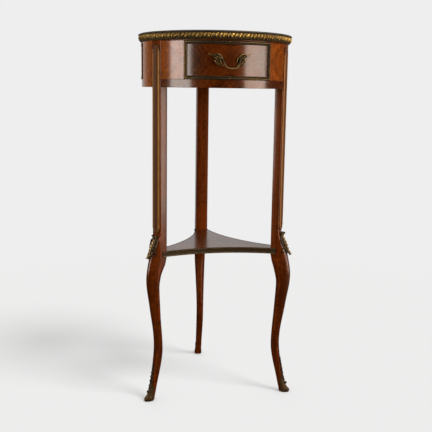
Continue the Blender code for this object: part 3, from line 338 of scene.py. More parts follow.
class TableStudio(bpy.types.PropertyGroup):
    """Camera and lights."""

    lens: FloatProperty(name="Lens", description="Focal length", default=59.437, unit="CAMERA")
    right_light: FloatProperty(name="Right light", description="Softbox on the right", default=50.0)
    left_light: FloatProperty(name="Left light", description="Softbox on the left", default=44.0)
    back_light: FloatProperty(name="Back light", description="Softbox behind the table", default=18.0)
    high_light: FloatProperty(name="High light", description="Lamp high on the right", default=2.3)


# Curves and sections
def smooth(stations, at):
    """Value at a position on the smooth curve through (position, value) stations."""
    if at <= stations[0][0]:
        return stations[0][1]
    if at >= stations[-1][0]:
        return stations[-1][1]
    slopes = [(b[1] - a[1]) / (b[0] - a[0]) for a, b in zip(stations, stations[1:])]
    tangents = [0.0]
    for before, after in zip(slopes, slopes[1:]):
        tangents.append(2 * before * after / (before + after) if before * after > 0 else 0.0)
    tangents.append(slopes[-1])
    for i, (low, high) in enumerate(zip(stations, stations[1:])):
        if at <= high[0]:
            span = high[0] - low[0]
            t = (at - low[0]) / span
            return (
                low[1] * (1 + 2 * t) * (1 - t) ** 2
                + tangents[i] * span * t * (1 - t) ** 2
                + high[1] * t * t * (3 - 2 * t)
                + tangents[i + 1] * span * t * t * (t - 1)
            )
    return stations[-1][1]


def spread(low, high, count):
    """Evenly spaced values, both ends included."""
    return [low + (high - low) * i / (count - 1) for i in range(count)]


def circle(count):
    """Evenly spaced (cosine, sine) pairs once round."""
    angles = [math.tau * i / count for i in range(count)]
    return [(math.cos(angle), math.sin(angle)) for angle in angles]


def along(path, t):
    """Point on the smooth curve through the points of a path."""
    points = [Vector(point) for point in path]
    span = min(max(t, 0.0), 1.0) * (len(points) - 1)
    i = min(int(span), len(points) - 2)
    f = span - i
    before = points[max(i - 1, 0)]
    start = points[i]
    end = points[i + 1]
    after = points[min(i + 2, len(points) - 1)]
    bend = 2 * before - 5 * start + 4 * end - after
    twist = 3 * start - before - 3 * end + after
    return 0.5 * (2 * start + (end - before) * f + bend * f * f + twist * f ** 3)


def leg_outer(height):
    """Radius of the leg's outer face."""
    return POST_OUTER + smooth(OUTER_STATIONS, height)


def leg_inner(height):
    """Radius of the leg's inner face."""
    return POST_INNER + smooth(INNER_STATIONS, height)


def leg_half(height):
    """Half the leg's width."""
    return smooth(WIDTH_STATIONS, height) / 2


@functools.lru_cache(maxsize=None)
def leg_side(height):
    """Half of the leg's section as (out, across, wear) points, from its outer face to its inner one."""
    outer = leg_outer(height)
    inner = leg_inner(height)
    half = leg_half(height)
    depth = outer - inner
    corner = min(smooth(CORNER_STATIONS, height), CORNER_LIMITS[0] * half, CORNER_LIMITS[1] * depth)
    ridge = smooth(RIDGE_STATIONS, height)
    back = smooth(BACK_STATIONS, height)
    middle_step = (CORNER_STEPS - 1) / 2
    side = []
    for carving, shares, start in ((ridge, RIDGE_SHARES, 0.0), (back, BACK_SHARES, math.pi / 2)):
        deep = corner + carving * (shares[0] * depth - corner)
        wide = corner + carving * (shares[1] * half - corner)
        middle = Vector((inner + deep if start else outer - deep, half - wide))
        last = start + math.pi / 2
        first_end = middle + Vector((deep * math.cos(start), wide * math.sin(start)))
        last_end = middle + Vector((deep * math.cos(last), wide * math.sin(last)))
        for step in range(CORNER_STEPS):
            share = step / (CORNER_STEPS - 1)
            turn = start + share * math.pi / 2
            round_spot = middle + Vector((deep * math.cos(turn), wide * math.sin(turn)))
            spot = round_spot.lerp(first_end.lerp(last_end, share), carving * (1.0 - SLOPE_BULGE))
            rubbed = CORNER_WEAR - CORNER_WEAR_FALL * abs(step - middle_step)
            towards_side = 1.0 - share if start else share
            arris = SLOPE_WEAR + (1.0 - SLOPE_WEAR) * max(0.0, 4.0 * towards_side - 3.0)
            side.append((spot.x, spot.y, rubbed + carving * (arris - rubbed)))
    return side


def along_leg_side(height, reach):
    """Point of the leg's section at a distance along it from the middle of its outer face."""
    left = abs(reach)
    spot = Vector((leg_outer(height), 0.0))
    for out, across, _ in leg_side(height):
        step = Vector((out, across)) - spot
        share = min(1.0, left / step.length)
        spot = spot + step * share
        left -= step.length
        if share < 1.0:
            break
    return Vector((spot.x, math.copysign(spot.y, reach)))


class Shape:
    """Points, faces and relief of a piece while it is made; relief is 1 on crests and 0 in hollows."""

    def __init__(self):
        self.points = []
        self.faces = []
        self.relief = []

    def skin(self, rings, loop=False):
        """Skin over rings of (point, relief) pairs, with capped ends or joined in a loop."""
        first = len(self.points)
        count = len(rings[0])
        for ring in rings:
            for point, relief in ring:
                self.points.append(Vector(point))
                self.relief.append(min(max(relief, 0.0), 1.0))
        for i in range(len(rings) if loop else len(rings) - 1):
            low = first + i * count
            high = first + (i + 1) % len(rings) * count
            for j in range(count):
                k = (j + 1) % count
                self.faces.append((low + j, low + k, high + k, high + j))
        if not loop:
            end = first + (len(rings) - 1) * count
            self.faces.append(tuple(range(first + count - 1, first - 1, -1)))
            self.faces.append(tuple(range(end, end + count)))
        return self

    def prism(self, outline, low, high, relief=0.5):
        """Upright solid over a plan outline, with worn upper and lower edges."""
        rim = min(1.5 * MM, (high - low) / 3)
        levels = ((low, 1.0), (low + rim, relief), (high - rim, relief), (high, 1.0))
        return self.skin([[((x, y, z), worn) for x, y in outline] for z, worn in levels])

    def dome(self, centre, normal, radius, height, relief=1.0):
        """Round pin head or pearl that stands on a surface."""
        turn = Vector(normal).to_track_quat("Z", "Y")
        rings = []
        for rise in (-0.4, 0.0, 0.5, 0.84, 0.98):
            reach = radius * math.sqrt(1.0 - max(rise, 0.0) ** 2)
            ring = []
            for c, s in circle(10):
                spot = Vector((reach * c, reach * s, height * rise))
                ring.append((Vector(centre) + turn @ spot, relief * (0.55 + 0.45 * max(rise, 0.0))))
            rings.append(ring)
        self.skin(rings)

    def tube(self, path, radii, reliefs, sides=14, level=Vector((0.0, 1.0, 0.0))):
        """Round bar along points in a plane square to a level direction, with radius and relief at each."""
        rings = []
        for i, (point, radius, relief) in enumerate(zip(path, radii, reliefs)):
            ahead = path[min(i + 1, len(path) - 1)]
            behind = path[max(i - 1, 0)]
            run = (ahead - behind).normalized()
            across = run.cross(level).normalized()
            other = run.cross(across)
            rings.append([(point + radius * (c * across + s * other), relief) for c, s in circle(sides)])
        self.skin(rings)

    def leaf(self, seat, path, width, rise, lobes=5, lift=None, steps=44, across=14, tone=1.0):
        """Cast leaf along a path on a seat: a midrib, slanting veins and a lobed edge."""
        self.stroke(seat, path, width, rise, lift, steps, across, lobes, tone)

    def scroll(self, seat, path, width, rise, lift=None, steps=36, tone=1.0):
        """Cast half-round scroll along a path on a seat."""
        self.stroke(seat, path, width, rise, lift, steps, 8, 0, tone)

    def stroke(self, seat, path, width, rise, lift, steps, across, lobes, tone):
        """Relief along a path; width, rise and lift are (share, value) stations."""
        rings = []
        for t in spread(0.0, 1.0, steps + 1):
            centre = along(path, t)
            run = (along(path, t + 0.01) - along(path, t - 0.01)).normalized()
            side = Vector((-run.y, run.x))
            half = smooth(width, t)
            high = smooth(rise, t)
            off = smooth(lift, t) if lift else 0.0
            edge = 1.0
            if lobes:
                edge = 0.8 + 0.2 * math.cos(math.tau * (lobes * t - 0.95))
            front = []
            back = []
            for s in spread(-1.0, 1.0, across + 1):
                spot = centre + side * half * edge * s
                point, normal = seat(spot.x, spot.y)
                dome = math.sqrt(max(0.0, 1.0 - s * s))
                height = dome
                relief = 0.25 + 0.75 * dome
                if lobes:
                    vein = 0.5 + 0.5 * math.cos(math.tau * (lobes * t - 0.95 * abs(s)))
                    rib = math.exp(-((s / 0.16) ** 2))
                    height = max(0.1, dome ** 0.7) * (0.42 + 0.4 * vein) + 0.3 * rib * dome
                    relief = 0.1 + 0.62 * vein * dome + 0.45 * rib
                front.append((point + normal * (off + high * height), tone * relief))
                back.append((point + normal * (off - 0.2 * MM), 0.1))
            rings.append(front + back[::-1])
        self.skin(rings)


def on_drum(x, z):
    """Point and normal on the drum's face above a point across the front."""
    radius = DRUM_RADIUS + FIT
    y = -math.sqrt(radius ** 2 - x * x)
    return Vector((x, y, z)), Vector((x, y, 0.0)) / radius


def on_leg(y, z):
    """Point and normal on the leg's outer face and round its corners, in the leg's own frame."""
    slope = (leg_outer(z + MM) - leg_outer(z - MM)) / (2 * MM)
    spot = along_leg_side(z, y)
    run = (along_leg_side(z, y + 2 * MM) - along_leg_side(z, y - 2 * MM)).normalized()
    spot = spot + FIT * Vector((run.y, -run.x))
    normal = Vector((run.y, -run.x, -slope * run.y)).normalized()
    return Vector((spot.x, spot.y, z)), normal


def piece(name, shape, finish, nodes, body="table", slot="gilt_brass", angle=0.0, sharp=38.0, bevel=0.0):
    """Make a piece from a shape, on its body, in place of its solids."""
    mesh = bpy.data.meshes.new(name)
    mesh.from_pydata(shape.points, [], shape.faces)
    work = bmesh.new()
    work.from_mesh(mesh)
    bmesh.ops.recalc_face_normals(work, faces=work.faces)
    work.to_mesh(mesh)
    work.free()
    relief = mesh.attributes.new("relief", "FLOAT", "POINT")
    relief.data.foreach_set("value", shape.relief)
    mesh.shade_smooth()
    mesh.set_sharp_from_angle(angle=math.radians(sharp))
    mesh.materials.append(finish)
    obj = bpy.data.objects.new(name, mesh)
    bpy.context.scene.collection.objects.link(obj)
    obj.rotation_euler.z = math.radians(angle)
    if bevel:
        modifier = obj.modifiers.new("eased_edges", "BEVEL")
        modifier.width = bevel
        modifier.segments = 2
        modifier.limit_method = "ANGLE"
        modifier.angle_limit = math.radians(50.0)
        modifier.harden_normals = True
    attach(obj, body)
    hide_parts(*nodes)
    return obj


def on_each_leg(name, shape, finish, node, **settings):
    """Make the same piece on each leg; the leg's own name goes into the names of the piece and its solid."""
    for leg, angle in LEGS.items():
        piece(name.format(leg), shape, FINISHES[finish], [node.format(leg)], angle=angle, **settings)


# Shader nodes
def fill(tree, node, inputs):
    """Give a node its inputs, which are values, or sockets to link from."""
    for key, value in inputs.items():
        if isinstance(value, bpy.types.NodeSocket):
            tree.links.new(value, node.inputs[key])
        else:
            node.inputs[key].default_value = value
    return node


def add(tree, kind, inputs=None, **settings):
    """Add a shader node with its settings and its inputs."""
    node = tree.nodes.new("ShaderNode" + kind)
    for key, value in settings.items():
        setattr(node, key, value)
    return fill(tree, node, inputs or {})


def place_group(tree, name, inputs=None):
    """Outputs of a shared group in a material, with its own values."""
    return add(tree, "Group", inputs, node_tree=bpy.data.node_groups[name]).outputs


def reckon(tree, operation, first, second=0.0):
    """Result of a math node."""
    return add(tree, "Math", {0: first, 1: second}, operation=operation).outputs[0]


def times(tree, first, second):
    """Product of two values."""
    return reckon(tree, "MULTIPLY", first, second)


def plus(tree, first, second):
    """Sum of two values."""
    return reckon(tree, "ADD", first, second)


def minus(tree, first, second):
    """Difference of two values."""
    return reckon(tree, "SUBTRACT", first, second)


def ramp(tree, value, low, high, start=0.0, end=1.0):
    """A value taken from one range to another, with smooth ends."""
    inputs = {0: value, 1: low, 2: high, 3: start, 4: end}
    return add(tree, "MapRange", inputs, interpolation_type="SMOOTHSTEP").outputs[0]


def noise(tree, vector, scale, detail, **more):
    """Value of a noise texture."""
    return add(tree, "TexNoise", {"Vector": vector, "Scale": scale, "Detail": detail, **more}).outputs[0]


def mixed(tree, share, first, second):
    """One colour mixed with another."""
    return add(tree, "Mix", {0: share, 6: first, 7: second}, data_type="RGBA").outputs[2]


def object_place(tree):
    """Place in the piece's own frame."""
    return add(tree, "TexCoord").outputs["Object"]


def relief_value(tree):
    """Relief that the piece's mesh carries."""
    return add(tree, "Attribute", attribute_name="relief").outputs["Fac"]


def rgba(value, share=1.0):
    """A colour or a share of it, with full alpha."""
    return (*[min(1.0, share * part) for part in value], 1.0)


def new_group(name, inputs, outputs):
    """An empty shader node group, with the values given to it and its output node."""
    tree = bpy.data.node_groups.new(name, "ShaderNodeTree")
    for way, sockets in (("INPUT", inputs), ("OUTPUT", outputs)):
        for label, kind in sockets:
            tree.interface.new_socket(name=label, in_out=way, socket_type="NodeSocket" + kind)
    return tree, tree.nodes.new("NodeGroupInput").outputs, tree.nodes.new("NodeGroupOutput")


def make_bay_grain():
    """Grain of the drum: quartered about the middle of each bay, slanting away from it."""
    tree, _, out = new_group("bay_grain", (), (("Vector", "Vector"),))
    parts = add(tree, "SeparateXYZ", {0: object_place(tree)}).outputs
    angle = reckon(tree, "ARCTAN2", parts["Y"], parts["X"])
    spacing = math.radians(LEG_SPACING)
    turned = plus(tree, angle, math.radians(360.0 - LEGS["front_left"]) + math.tau)
    bay = minus(tree, reckon(tree, "MODULO", turned, spacing), spacing / 2)
    across = reckon(tree, "ABSOLUTE", times(tree, bay, DRUM_RADIUS))
    middle = (DRAWER_BOTTOM + DRAWER_TOP) / 2
    up = reckon(tree, "ABSOLUTE", minus(tree, parts["Z"], middle))
    diagonal = math.sqrt(0.5)
    run = times(tree, plus(tree, across, up), diagonal)
    over = times(tree, minus(tree, across, up), diagonal)
    fill(tree, out, {"Vector": add(tree, "CombineXYZ", {0: over, 1: BAY_SLICE, 2: run}).outputs[0]})


def make_sector_grain():
    """Grain of flat round or three-sided tops: quartered sectors about the axis."""
    tree, given, out = new_group("sector_grain", (("Sectors", "Float"),), (("Vector", "Vector"),))
    where = object_place(tree)
    parts = add(tree, "SeparateXYZ", {0: where}).outputs
    angle = reckon(tree, "ARCTAN2", parts["Y"], parts["X"])
    flat = add(tree, "VectorMath", {0: where, 1: (1.0, 1.0, 0.0)}, operation="MULTIPLY").outputs[0]
    reach = add(tree, "VectorMath", {0: flat}, operation="LENGTH").outputs["Value"]
    width = reckon(tree, "DIVIDE", math.tau, given["Sectors"])
    turned = plus(tree, angle, math.tau + math.pi / 2)
    local = minus(tree, reckon(tree, "MODULO", turned, width), times(tree, width, 0.5))
    run = times(tree, reach, reckon(tree, "COSINE", local))
    over = times(tree, reach, reckon(tree, "ABSOLUTE", reckon(tree, "SINE", local)))
    fill(tree, out, {"Vector": add(tree, "CombineXYZ", {0: run, 1: SECTOR_SLICE, 2: over}).outputs[0]})


def make_wood_figure():
    """Streaks, pores and fine relief of wood whose grain runs along Z of the vector."""
    inputs = (("Vector", "Vector"), ("Stretch", "Float"), ("Figure", "Float"))
    outputs = (("Tone", "Float"), ("Pores", "Float"), ("Height", "Float"))
    tree, given, out = new_group("wood_figure", inputs, outputs)
    vector = given["Vector"]
    squeeze = add(tree, "CombineXYZ", {0: 1.0, 1: 1.0, 2: given["Stretch"]}).outputs[0]
    grain = add(tree, "VectorMath", {0: vector, 1: squeeze}, operation="MULTIPLY").outputs[0]
    broad = noise(tree, grain, 26.0, 3.0, Distortion=0.6)
    fine = noise(tree, grain, 260.0, 4.0, Roughness=0.62)
    drift = noise(tree, vector, 9.0, 2.0)
    mottle = noise(tree, vector, 130.0, 3.0)
    speck = noise(tree, grain, 900.0, 1.0)
    rings = add(tree, "TexWave", {"Vector": grain, "Scale": 42.0, "Distortion": 5.0, "Detail": 3.0})
    banding = times(tree, rings.outputs["Fac"], given["Figure"])
    tone = times(tree, broad, 0.42)
    for value, share in ((fine, 0.26), (drift, 0.3), (banding, 0.2), (mottle, 0.3)):
        tone = plus(tree, tone, times(tree, value, share))
    pores = ramp(tree, speck, 0.6, 0.72)
    height = minus(tree, fine, times(tree, pores, 0.8))
    fill(tree, out, {"Tone": ramp(tree, tone, 0.52, 0.79), "Pores": pores, "Height": height})


def make_polish():
    """Slow change of gloss over a polished surface: rubbed patches, and a film that follows the grain."""
    inputs = (("Vector", "Vector"), ("Low", "Float"), ("High", "Float"), ("Film", "Float"))
    tree, given, out = new_group("polish", inputs, (("Roughness", "Float"), ("Coat", "Float")))
    cloud = noise(tree, object_place(tree), 34.0, 5.0, Roughness=0.6)
    share = ramp(tree, cloud, 0.3, 0.72)
    roughness = add(tree, "Mix", {0: share, 2: given["Low"], 3: given["High"]}).outputs[0]
    ripple = noise(tree, given["Vector"], 210.0, 3.0)
    worn = plus(tree, times(tree, ripple, 0.6), cloud)
    coat = times(tree, ramp(tree, worn, 0.5, 1.05, 0.8, 1.12), given["Film"])
    fill(tree, out, {"Roughness": roughness, "Coat": coat})


def make_edge_wear():
    """Mask of the worn arrises, broken up along the grain."""
    tree, given, out = new_group("edge_wear", (("Vector", "Vector"),), (("Wear", "Float"),))
    chips = noise(tree, given["Vector"], 70.0, 4.0)
    rub = plus(tree, relief_value(tree), minus(tree, chips, 0.5))
    fill(tree, out, {"Wear": ramp(tree, rub, 0.86, 1.12, 0.0, 0.6)})


def make_aged_gilt():
    """Rubbed gilt crests over dark recesses, with tarnish in patches."""
    inputs = (("Gilt", "Color"), ("Patina", "Color"), ("Shine", "Float"))
    outputs = (("Color", "Color"), ("Roughness", "Float"), ("Metallic", "Float"), ("Height", "Float"))
    tree, given, out = new_group("aged_gilt", inputs, outputs)
    where = object_place(tree)
    cloud = noise(tree, where, 120.0, 5.0, Roughness=0.65)
    speck = noise(tree, where, 700.0, 3.0, Roughness=0.6)
    patches = times(tree, minus(tree, cloud, 0.5), 0.9)
    grit = times(tree, minus(tree, speck, 0.5), 0.5)
    rub = plus(tree, plus(tree, relief_value(tree), patches), grit)
    brown = mixed(tree, 0.55, given["Gilt"], given["Patina"])
    tint = mixed(tree, ramp(tree, cloud, 0.35, 0.7), given["Gilt"], brown)
    results = {
        "Color": mixed(tree, ramp(tree, rub, 0.2, 0.95), given["Patina"], tint),
        "Roughness": ramp(tree, rub, 0.2, 1.0, 0.62, 0.36),
        "Metallic": times(tree, ramp(tree, rub, 0.1, 0.9, 0.33, 1.0), given["Shine"]),
        "Height": speck,
    }
    fill(tree, out, results)


def new_finish(name, **constants):
    """A material with its shader; constants are values that are the same all over."""
    finish = bpy.data.materials.new(name)
    finish.use_nodes = True
    shader = finish.node_tree.nodes["Principled BSDF"]
    for key, value in constants.items():
        shader.inputs[key.replace("_", " ").title().replace("Ior", "IOR")].default_value = value
    return finish, finish.node_tree, shader


def wood_finish(name, vector, light, dark, gloss, film):
    """Wood with streaks, pores and a polished film."""
    finish, tree, shader = new_finish(
        name, coat_roughness=COAT_ROUGHNESS, specular_ior_level=WOOD_SPECULAR, specular_tint=WARM_GLOW
    )
    source = vector(tree)
    grain = {"Vector": source, "Stretch": GRAIN_STRETCH, "Figure": GRAIN_FIGURE}
    figure = place_group(tree, "wood_figure", grain)
    tone = mixed(tree, figure["Tone"], rgba(dark), rgba(light))
    tone = mixed(tree, times(tree, figure["Pores"], PORE_SHARE), tone, rgba(dark, PORE_TONE))
    wear = place_group(tree, "edge_wear", {"Vector": source})["Wear"]
    tone = mixed(tree, wear, tone, rgba(light, WORN_TONE))
    sheen = {"Vector": source, "Low": gloss, "High": gloss + GLOSS_RANGE, "Film": film}
    polish = place_group(tree, "polish", sheen)
    bump = add(tree, "Bump", {"Strength": 0.12, "Distance": 0.0004, "Height": figure["Height"]})
    fill(tree, shader, {"Base Color": tone, "Roughness": polish["Roughness"], "Normal": bump.outputs[0]})
    if film:
        fill(tree, shader, {"Coat Weight": polish["Coat"]})
    return finish


def gilt_finish(name, gilt, patina, shine):
    """Aged gilt brass, from colours with alpha."""
    finish, tree, shader = new_finish(name, specular_ior_level=BRASS_SPECULAR)
    aged = place_group(tree, "aged_gilt", {"Gilt": gilt, "Patina": patina, "Shine": shine})
    bump = add(tree, "Bump", {"Strength": 0.25, "Distance": 0.0003, "Height": aged["Height"]})
    fill(tree, shader, {"Base Color": aged["Color"], "Normal": bump.outputs[0]})
    fill(tree, shader, {key: aged[key] for key in ("Roughness", "Metallic")})
    return finish


def from_group(name, inputs=None):
    """Grain directions that come from a shared group."""
    return lambda tree: place_group(tree, name, inputs)["Vector"]


def from_axis(*turn):
    """Straight grain in the piece's own frame, turned so that it runs along one of its axes."""
    return lambda tree: add(tree, "Mapping", {"Vector": object_place(tree), "Rotation": turn}).outputs[0]


FINISHES = {}


def make_finishes(colours):
    """Build the shared groups, then every finish."""
    make_bay_grain()
    make_sector_grain()
    make_wood_figure()
    make_polish()
    make_edge_wear()
    make_aged_gilt()
    bays = from_group("bay_grain")
    thirds = from_group("sector_grain", {"Sectors": 3.0})
    quarters = from_group("sector_grain", {"Sectors": 4.0})
    quarter = math.pi / 2
    for key, name, grain, tint, gloss, film in (
        ("veneer", "drum_veneer", bays, "veneer", 0.3, 0.9),
        ("rail", "shaded_rail_veneer", bays, "veneer", 0.4, 0.12),
        # The cheeks and back panels take the lighter cheek colours: painted light for the side light falling
        # on them.
        ("cheek", "cheek_veneer", bays, "cheek", 0.3, 0.9),
        ("leg", "leg_wood", from_axis(0.0, 0.0, 0.4), "leg", 0.32, 0.5),
        ("shelf", "shelf_veneer", thirds, "shelf", 0.26, 0.68),
        ("top", "top_veneer", quarters, "veneer", 0.24, 0.9),
        ("carcase_x", "carcase_wood_x", from_axis(0.0, quarter, 0.0), "carcase", 0.6, 0.0),
        ("carcase_y", "carcase_wood_y", from_axis(quarter, 0.0, 0.0), "carcase", 0.6, 0.0),
        ("carcase_z", "carcase_wood_z", from_axis(0.0, 0.0, 0.0), "carcase", 0.6, 0.0),
    ):
        light = getattr(colours, tint + "_light")
        dark = getattr(colours, tint + "_dark")
        FINISHES[key] = wood_finish(name, grain, light, dark, gloss, film)
    patina = colours.patina
    for key, name, gilt, hollow, shine in (
        ("gilt", "gilt_brass", rgba(colours.gilt), rgba(patina), BRASS_SHINE),
        ("rim", "rim_brass", rgba(colours.rim), rgba(patina), BRASS_SHINE),
        ("strip", "strip_brass", rgba(colours.strip), rgba(colours.channel), STRIP_SHINE),
        ("mount", "mount_brass", rgba(colours.mount), rgba(patina), MOUNT_SHINE),
        ("shoe", "shoe_brass", rgba(colours.shoe), rgba(patina), BRASS_SHINE),
        ("handle", "handle_brass", rgba(colours.handle), rgba(patina, 0.6), BRASS_SHINE),
        # The borders' hollows take the patina at half strength: partly dirt, partly painted shade, for the
        # top border the shade of the rim above.
        ("border", "border_brass", rgba(colours.border), rgba(patina, 0.5), BRASS_SHINE),
        ("lip", "dark_lip", rgba(colours.lip, 2.2), rgba(colours.lip), BRASS_SHINE),
        ("steel", "screw_steel", rgba(colours.steel), rgba(colours.steel, 0.4), BRASS_SHINE),
    ):
        FINISHES[key] = gilt_finish(name, gilt, hollow, shine)


# Operators that make the pieces
class DressTop(bpy.types.Operator):
    """Make the rim with its leaves and lip, and the veneered top inside it."""

    bl_idname = "side_table.dress_top"
    bl_label = "Top and rim"

    def execute(self, context):
        details = context.scene.table_details
        seam = TABLE_HEIGHT - details.lip_height
        self.leaf_band(details, seam)
        self.lip(details.lip_height, seam)
        outline = [(TOP_RADIUS * c, TOP_RADIUS * s) for c, s in circle(180)]
        shape = Shape().prism(outline, TOP_SURFACE - TOP_PANEL_DEPTH, TOP_SURFACE)
        piece("top_panel", shape, FINISHES["top"], ["top_veneer"], slot="top_and_shelf_veneer")
        return {"FINISHED"}

    def leaf_band(self, details, seam):
        """The gilt band: a row of beads with slanting leaves above it."""
        band = [(RIM_INNER, RIM_BOTTOM, 0.0, 0.0), (RIM_BACK, RIM_BOTTOM, 0.0, 0.0)]
        band += [(RIM_BACK, RIM_FOOT, 0.0, 0.0)]
        band += [(out * MM, RIM_FOOT + up * MM, carved, plain) for out, up, carved, plain in RIM_CARVING]
        band += [(RIM_EDGE, seam - FIT, 0.3, 0.1), (RIM_INNER, seam, 0.0, 0.0)]
        low = RIM_FOOT + BEAD_START
        steps = details.rim_leaves * RIM_STEPS
        rings = []
        for i in range(steps):
            angle = math.tau * i / steps
            phase = i % RIM_STEPS / RIM_STEPS * 2.0
            ring = []
            for radius, height, carved, plain in band:
                up = max(0.0, (height - low) / (seam - low))
                if up < BEAD_SHARE:
                    leafy, shade, rubbed = self.bead(up / BEAD_SHARE, phase)
                else:
                    up = (up - BEAD_SHARE) / (1.0 - BEAD_SHARE)
                    leafy, shade, rubbed = self.leaf(up, phase, i // RIM_STEPS, details.rim_leaves)
                out = radius + carved * details.rim_relief * (leafy - 0.5)
                relief = plain + carved * shade * (0.32 + 0.78 * rubbed * leafy)
                ring.append(((out * math.cos(angle), out * math.sin(angle), height), relief))
            rings.append(ring)
        shape = Shape().skin(rings, loop=True)
        piece("rim_leaf_band", shape, FINISHES["rim"], ["top_rim"])

    def bead(self, up, phase):
        """Height, shade and wear of the beads, at a share of their height; there are two to a leaf."""
        away = abs(2.0 * phase % 2.0 - 1.0) / BEAD_WIDTH
        leafy = 0.9 * math.sqrt(max(0.0, 1.0 - away * away))
        return leafy * math.sin(math.pi * (0.15 + 0.85 * up)), BEAD_SHADE, LEAF_WEAR

    def leaf(self, up, phase, number, count):
        """Height, shade and wear of the leaves, at a share of their height; neighbours differ."""
        shifted = phase - LEAF_SLANT * (up - 0.5)
        number = (number + math.floor(shifted / 2.0)) % count
        rubbed = LEAF_WEAR + (1.0 - LEAF_WEAR) * math.cos(2.4 * number) * math.cos(5.7 * number)
        lean = shifted % 2.0 - 1.0
        away = abs(lean)
        edge = 0.94 - 0.3 * (2.0 * up - 1.0) ** 2
        tongue = math.sqrt(max(0.0, 1.0 - min(1.0, away / edge) ** 2))
        vein = 0.5 + 0.5 * math.cos(math.tau * (1.6 * up - 1.2 * away) + 2.1 * number)
        rib = math.exp(-((lean / 0.18) ** 2))
        return tongue * (0.3 + 0.6 * vein + 0.15 * rib), min(1.05, 0.66 + 0.9 * up), rubbed

    def lip(self, rise, seam):
        """The dark half-round lip above the leaves."""
        section = [(RIM_INNER, seam + 0.05 * MM)]
        for turn in spread(-0.5, 0.5, 9):
            swell = math.cos(math.pi * turn)
            section.append((LIP_RADIUS + LIP_SWELL * swell, seam + rise * (0.46 + turn * 0.86)))
        section.append((RIM_INNER, seam + 0.9 * rise))
        rings = [[((r * c, r * s, z), 0.5) for r, z in section] for c, s in circle(360)]
        shape = Shape().skin(rings, loop=True)
        piece("rim_lip", shape, FINISHES["lip"], [])


def beside_leg(leg, side):
    """Angle at which a circle meets the side of a leg, as a function of its radius."""
    return lambda radius: math.radians(leg) + side * math.asin((LEG_WIDTH / 2 + FIT) / radius)


def beside_drawer(side):
    """Angle at which a circle meets the end of the drawer's opening, as a function of its radius."""
    return lambda radius: math.radians(-90.0) + side * math.asin(OPENING_HALF / radius)


def plan_arc(radius, start, end):
    """Plan points along a circle about the axis."""
    count = max(3, math.ceil(abs(end - start) / math.radians(1.5)) + 1)
    return [(radius * math.cos(a), radius * math.sin(a)) for a in spread(start, end, count)]


class DressDrum(bpy.types.Operator):
    """Make the veneered panels, cheeks and rails of the drum, and the drawer's front."""

    bl_idname = "side_table.dress_drum"
    bl_label = "Drum and drawer front"

    def execute(self, context):
        left = beside_leg(LEGS["front_left"] - 360.0, 1)
        right = beside_leg(LEGS["front_right"] - 360.0, -1)
        full = (FRIEZE_BOTTOM, FRIEZE_TOP)
        beside = (RAIL_TOP + FIT, UPPER_RAIL_BOTTOM - FIT)
        back_right = (beside_leg(LEGS["front_right"] - 360.0, 1), beside_leg(LEGS["back"], -1))
        back_left = (beside_leg(LEGS["back"], 1), beside_leg(LEGS["front_left"], -1))
        # Panels with the cheek finish carry painted light: a lighter copy of the veneer.
        for name, (start, end), heights, finish in (
            ("frieze_panel_back_right", back_right, full, "cheek"),
            ("frieze_panel_back_left", back_left, full, "cheek"),
            ("drawer_rail_lower", (left, right), (FRIEZE_BOTTOM, RAIL_TOP), "veneer"),
            ("drawer_rail_upper", (left, right), (UPPER_RAIL_BOTTOM, FRIEZE_TOP), "rail"),
            ("frieze_cheek_left", (left, beside_drawer(-1)), beside, "cheek"),
            ("frieze_cheek_right", (beside_drawer(1), right), beside, "cheek"),
        ):
            outline = plan_arc(DRUM_RADIUS, start(DRUM_RADIUS), end(DRUM_RADIUS))
            outline += plan_arc(DRUM_INNER, end(DRUM_INNER), start(DRUM_INNER))
            self.panel(name, outline, heights, finish, "table")
        front = -math.pi / 2
        swing = math.asin(DRAWER_HALF / DRUM_RADIUS)
        inner = math.asin(DRAWER_INSIDE / DRAWER_FRONT_INNER)
        land = -math.sqrt(DRAWER_FRONT_INNER ** 2 - DRAWER_INSIDE ** 2)
        outline = plan_arc(DRUM_RADIUS, front - swing, front + swing) + [(DRAWER_HALF, land)]
        outline += plan_arc(DRAWER_FRONT_INNER, front + inner, front - inner) + [(-DRAWER_HALF, land)]
        self.panel("drawer_front", outline, (DRAWER_BOTTOM, DRAWER_TOP), "veneer", "drawer")
        return {"FINISHED"}

    def panel(self, name, outline, heights, finish, body):
        """An upright veneered panel with eased edges."""
        shape = Shape().prism(outline, *heights)
        piece(name + "_veneer", shape, FINISHES[finish], [name], body, "drum_veneer", bevel=EASED_EDGE)


class DressLegs(bpy.types.Operator):
    """Make the legs: square posts above the shelf, curves carved to a ridge below it."""

    bl_idname = "side_table.dress_legs"
    bl_label = "Legs"

    def execute(self, context):
        rings = []
        for height in spread(LEG_FOOT, LEG_BEND, 76) + spread(LEG_BEND, FRIEZE_TOP, 9)[1:]:
            side = leg_side(height)
            ring = [((out, across, height), wear) for out, across, wear in side]
            ring += [((out, -across, height), wear) for out, across, wear in reversed(side)]
            rings.append(ring)
        shape = Shape().skin(rings)
        on_each_leg("leg_{}_wood", shape, "leg", "leg_{}", slot="leg_wood", sharp=62.0)
        return {"FINISHED"}


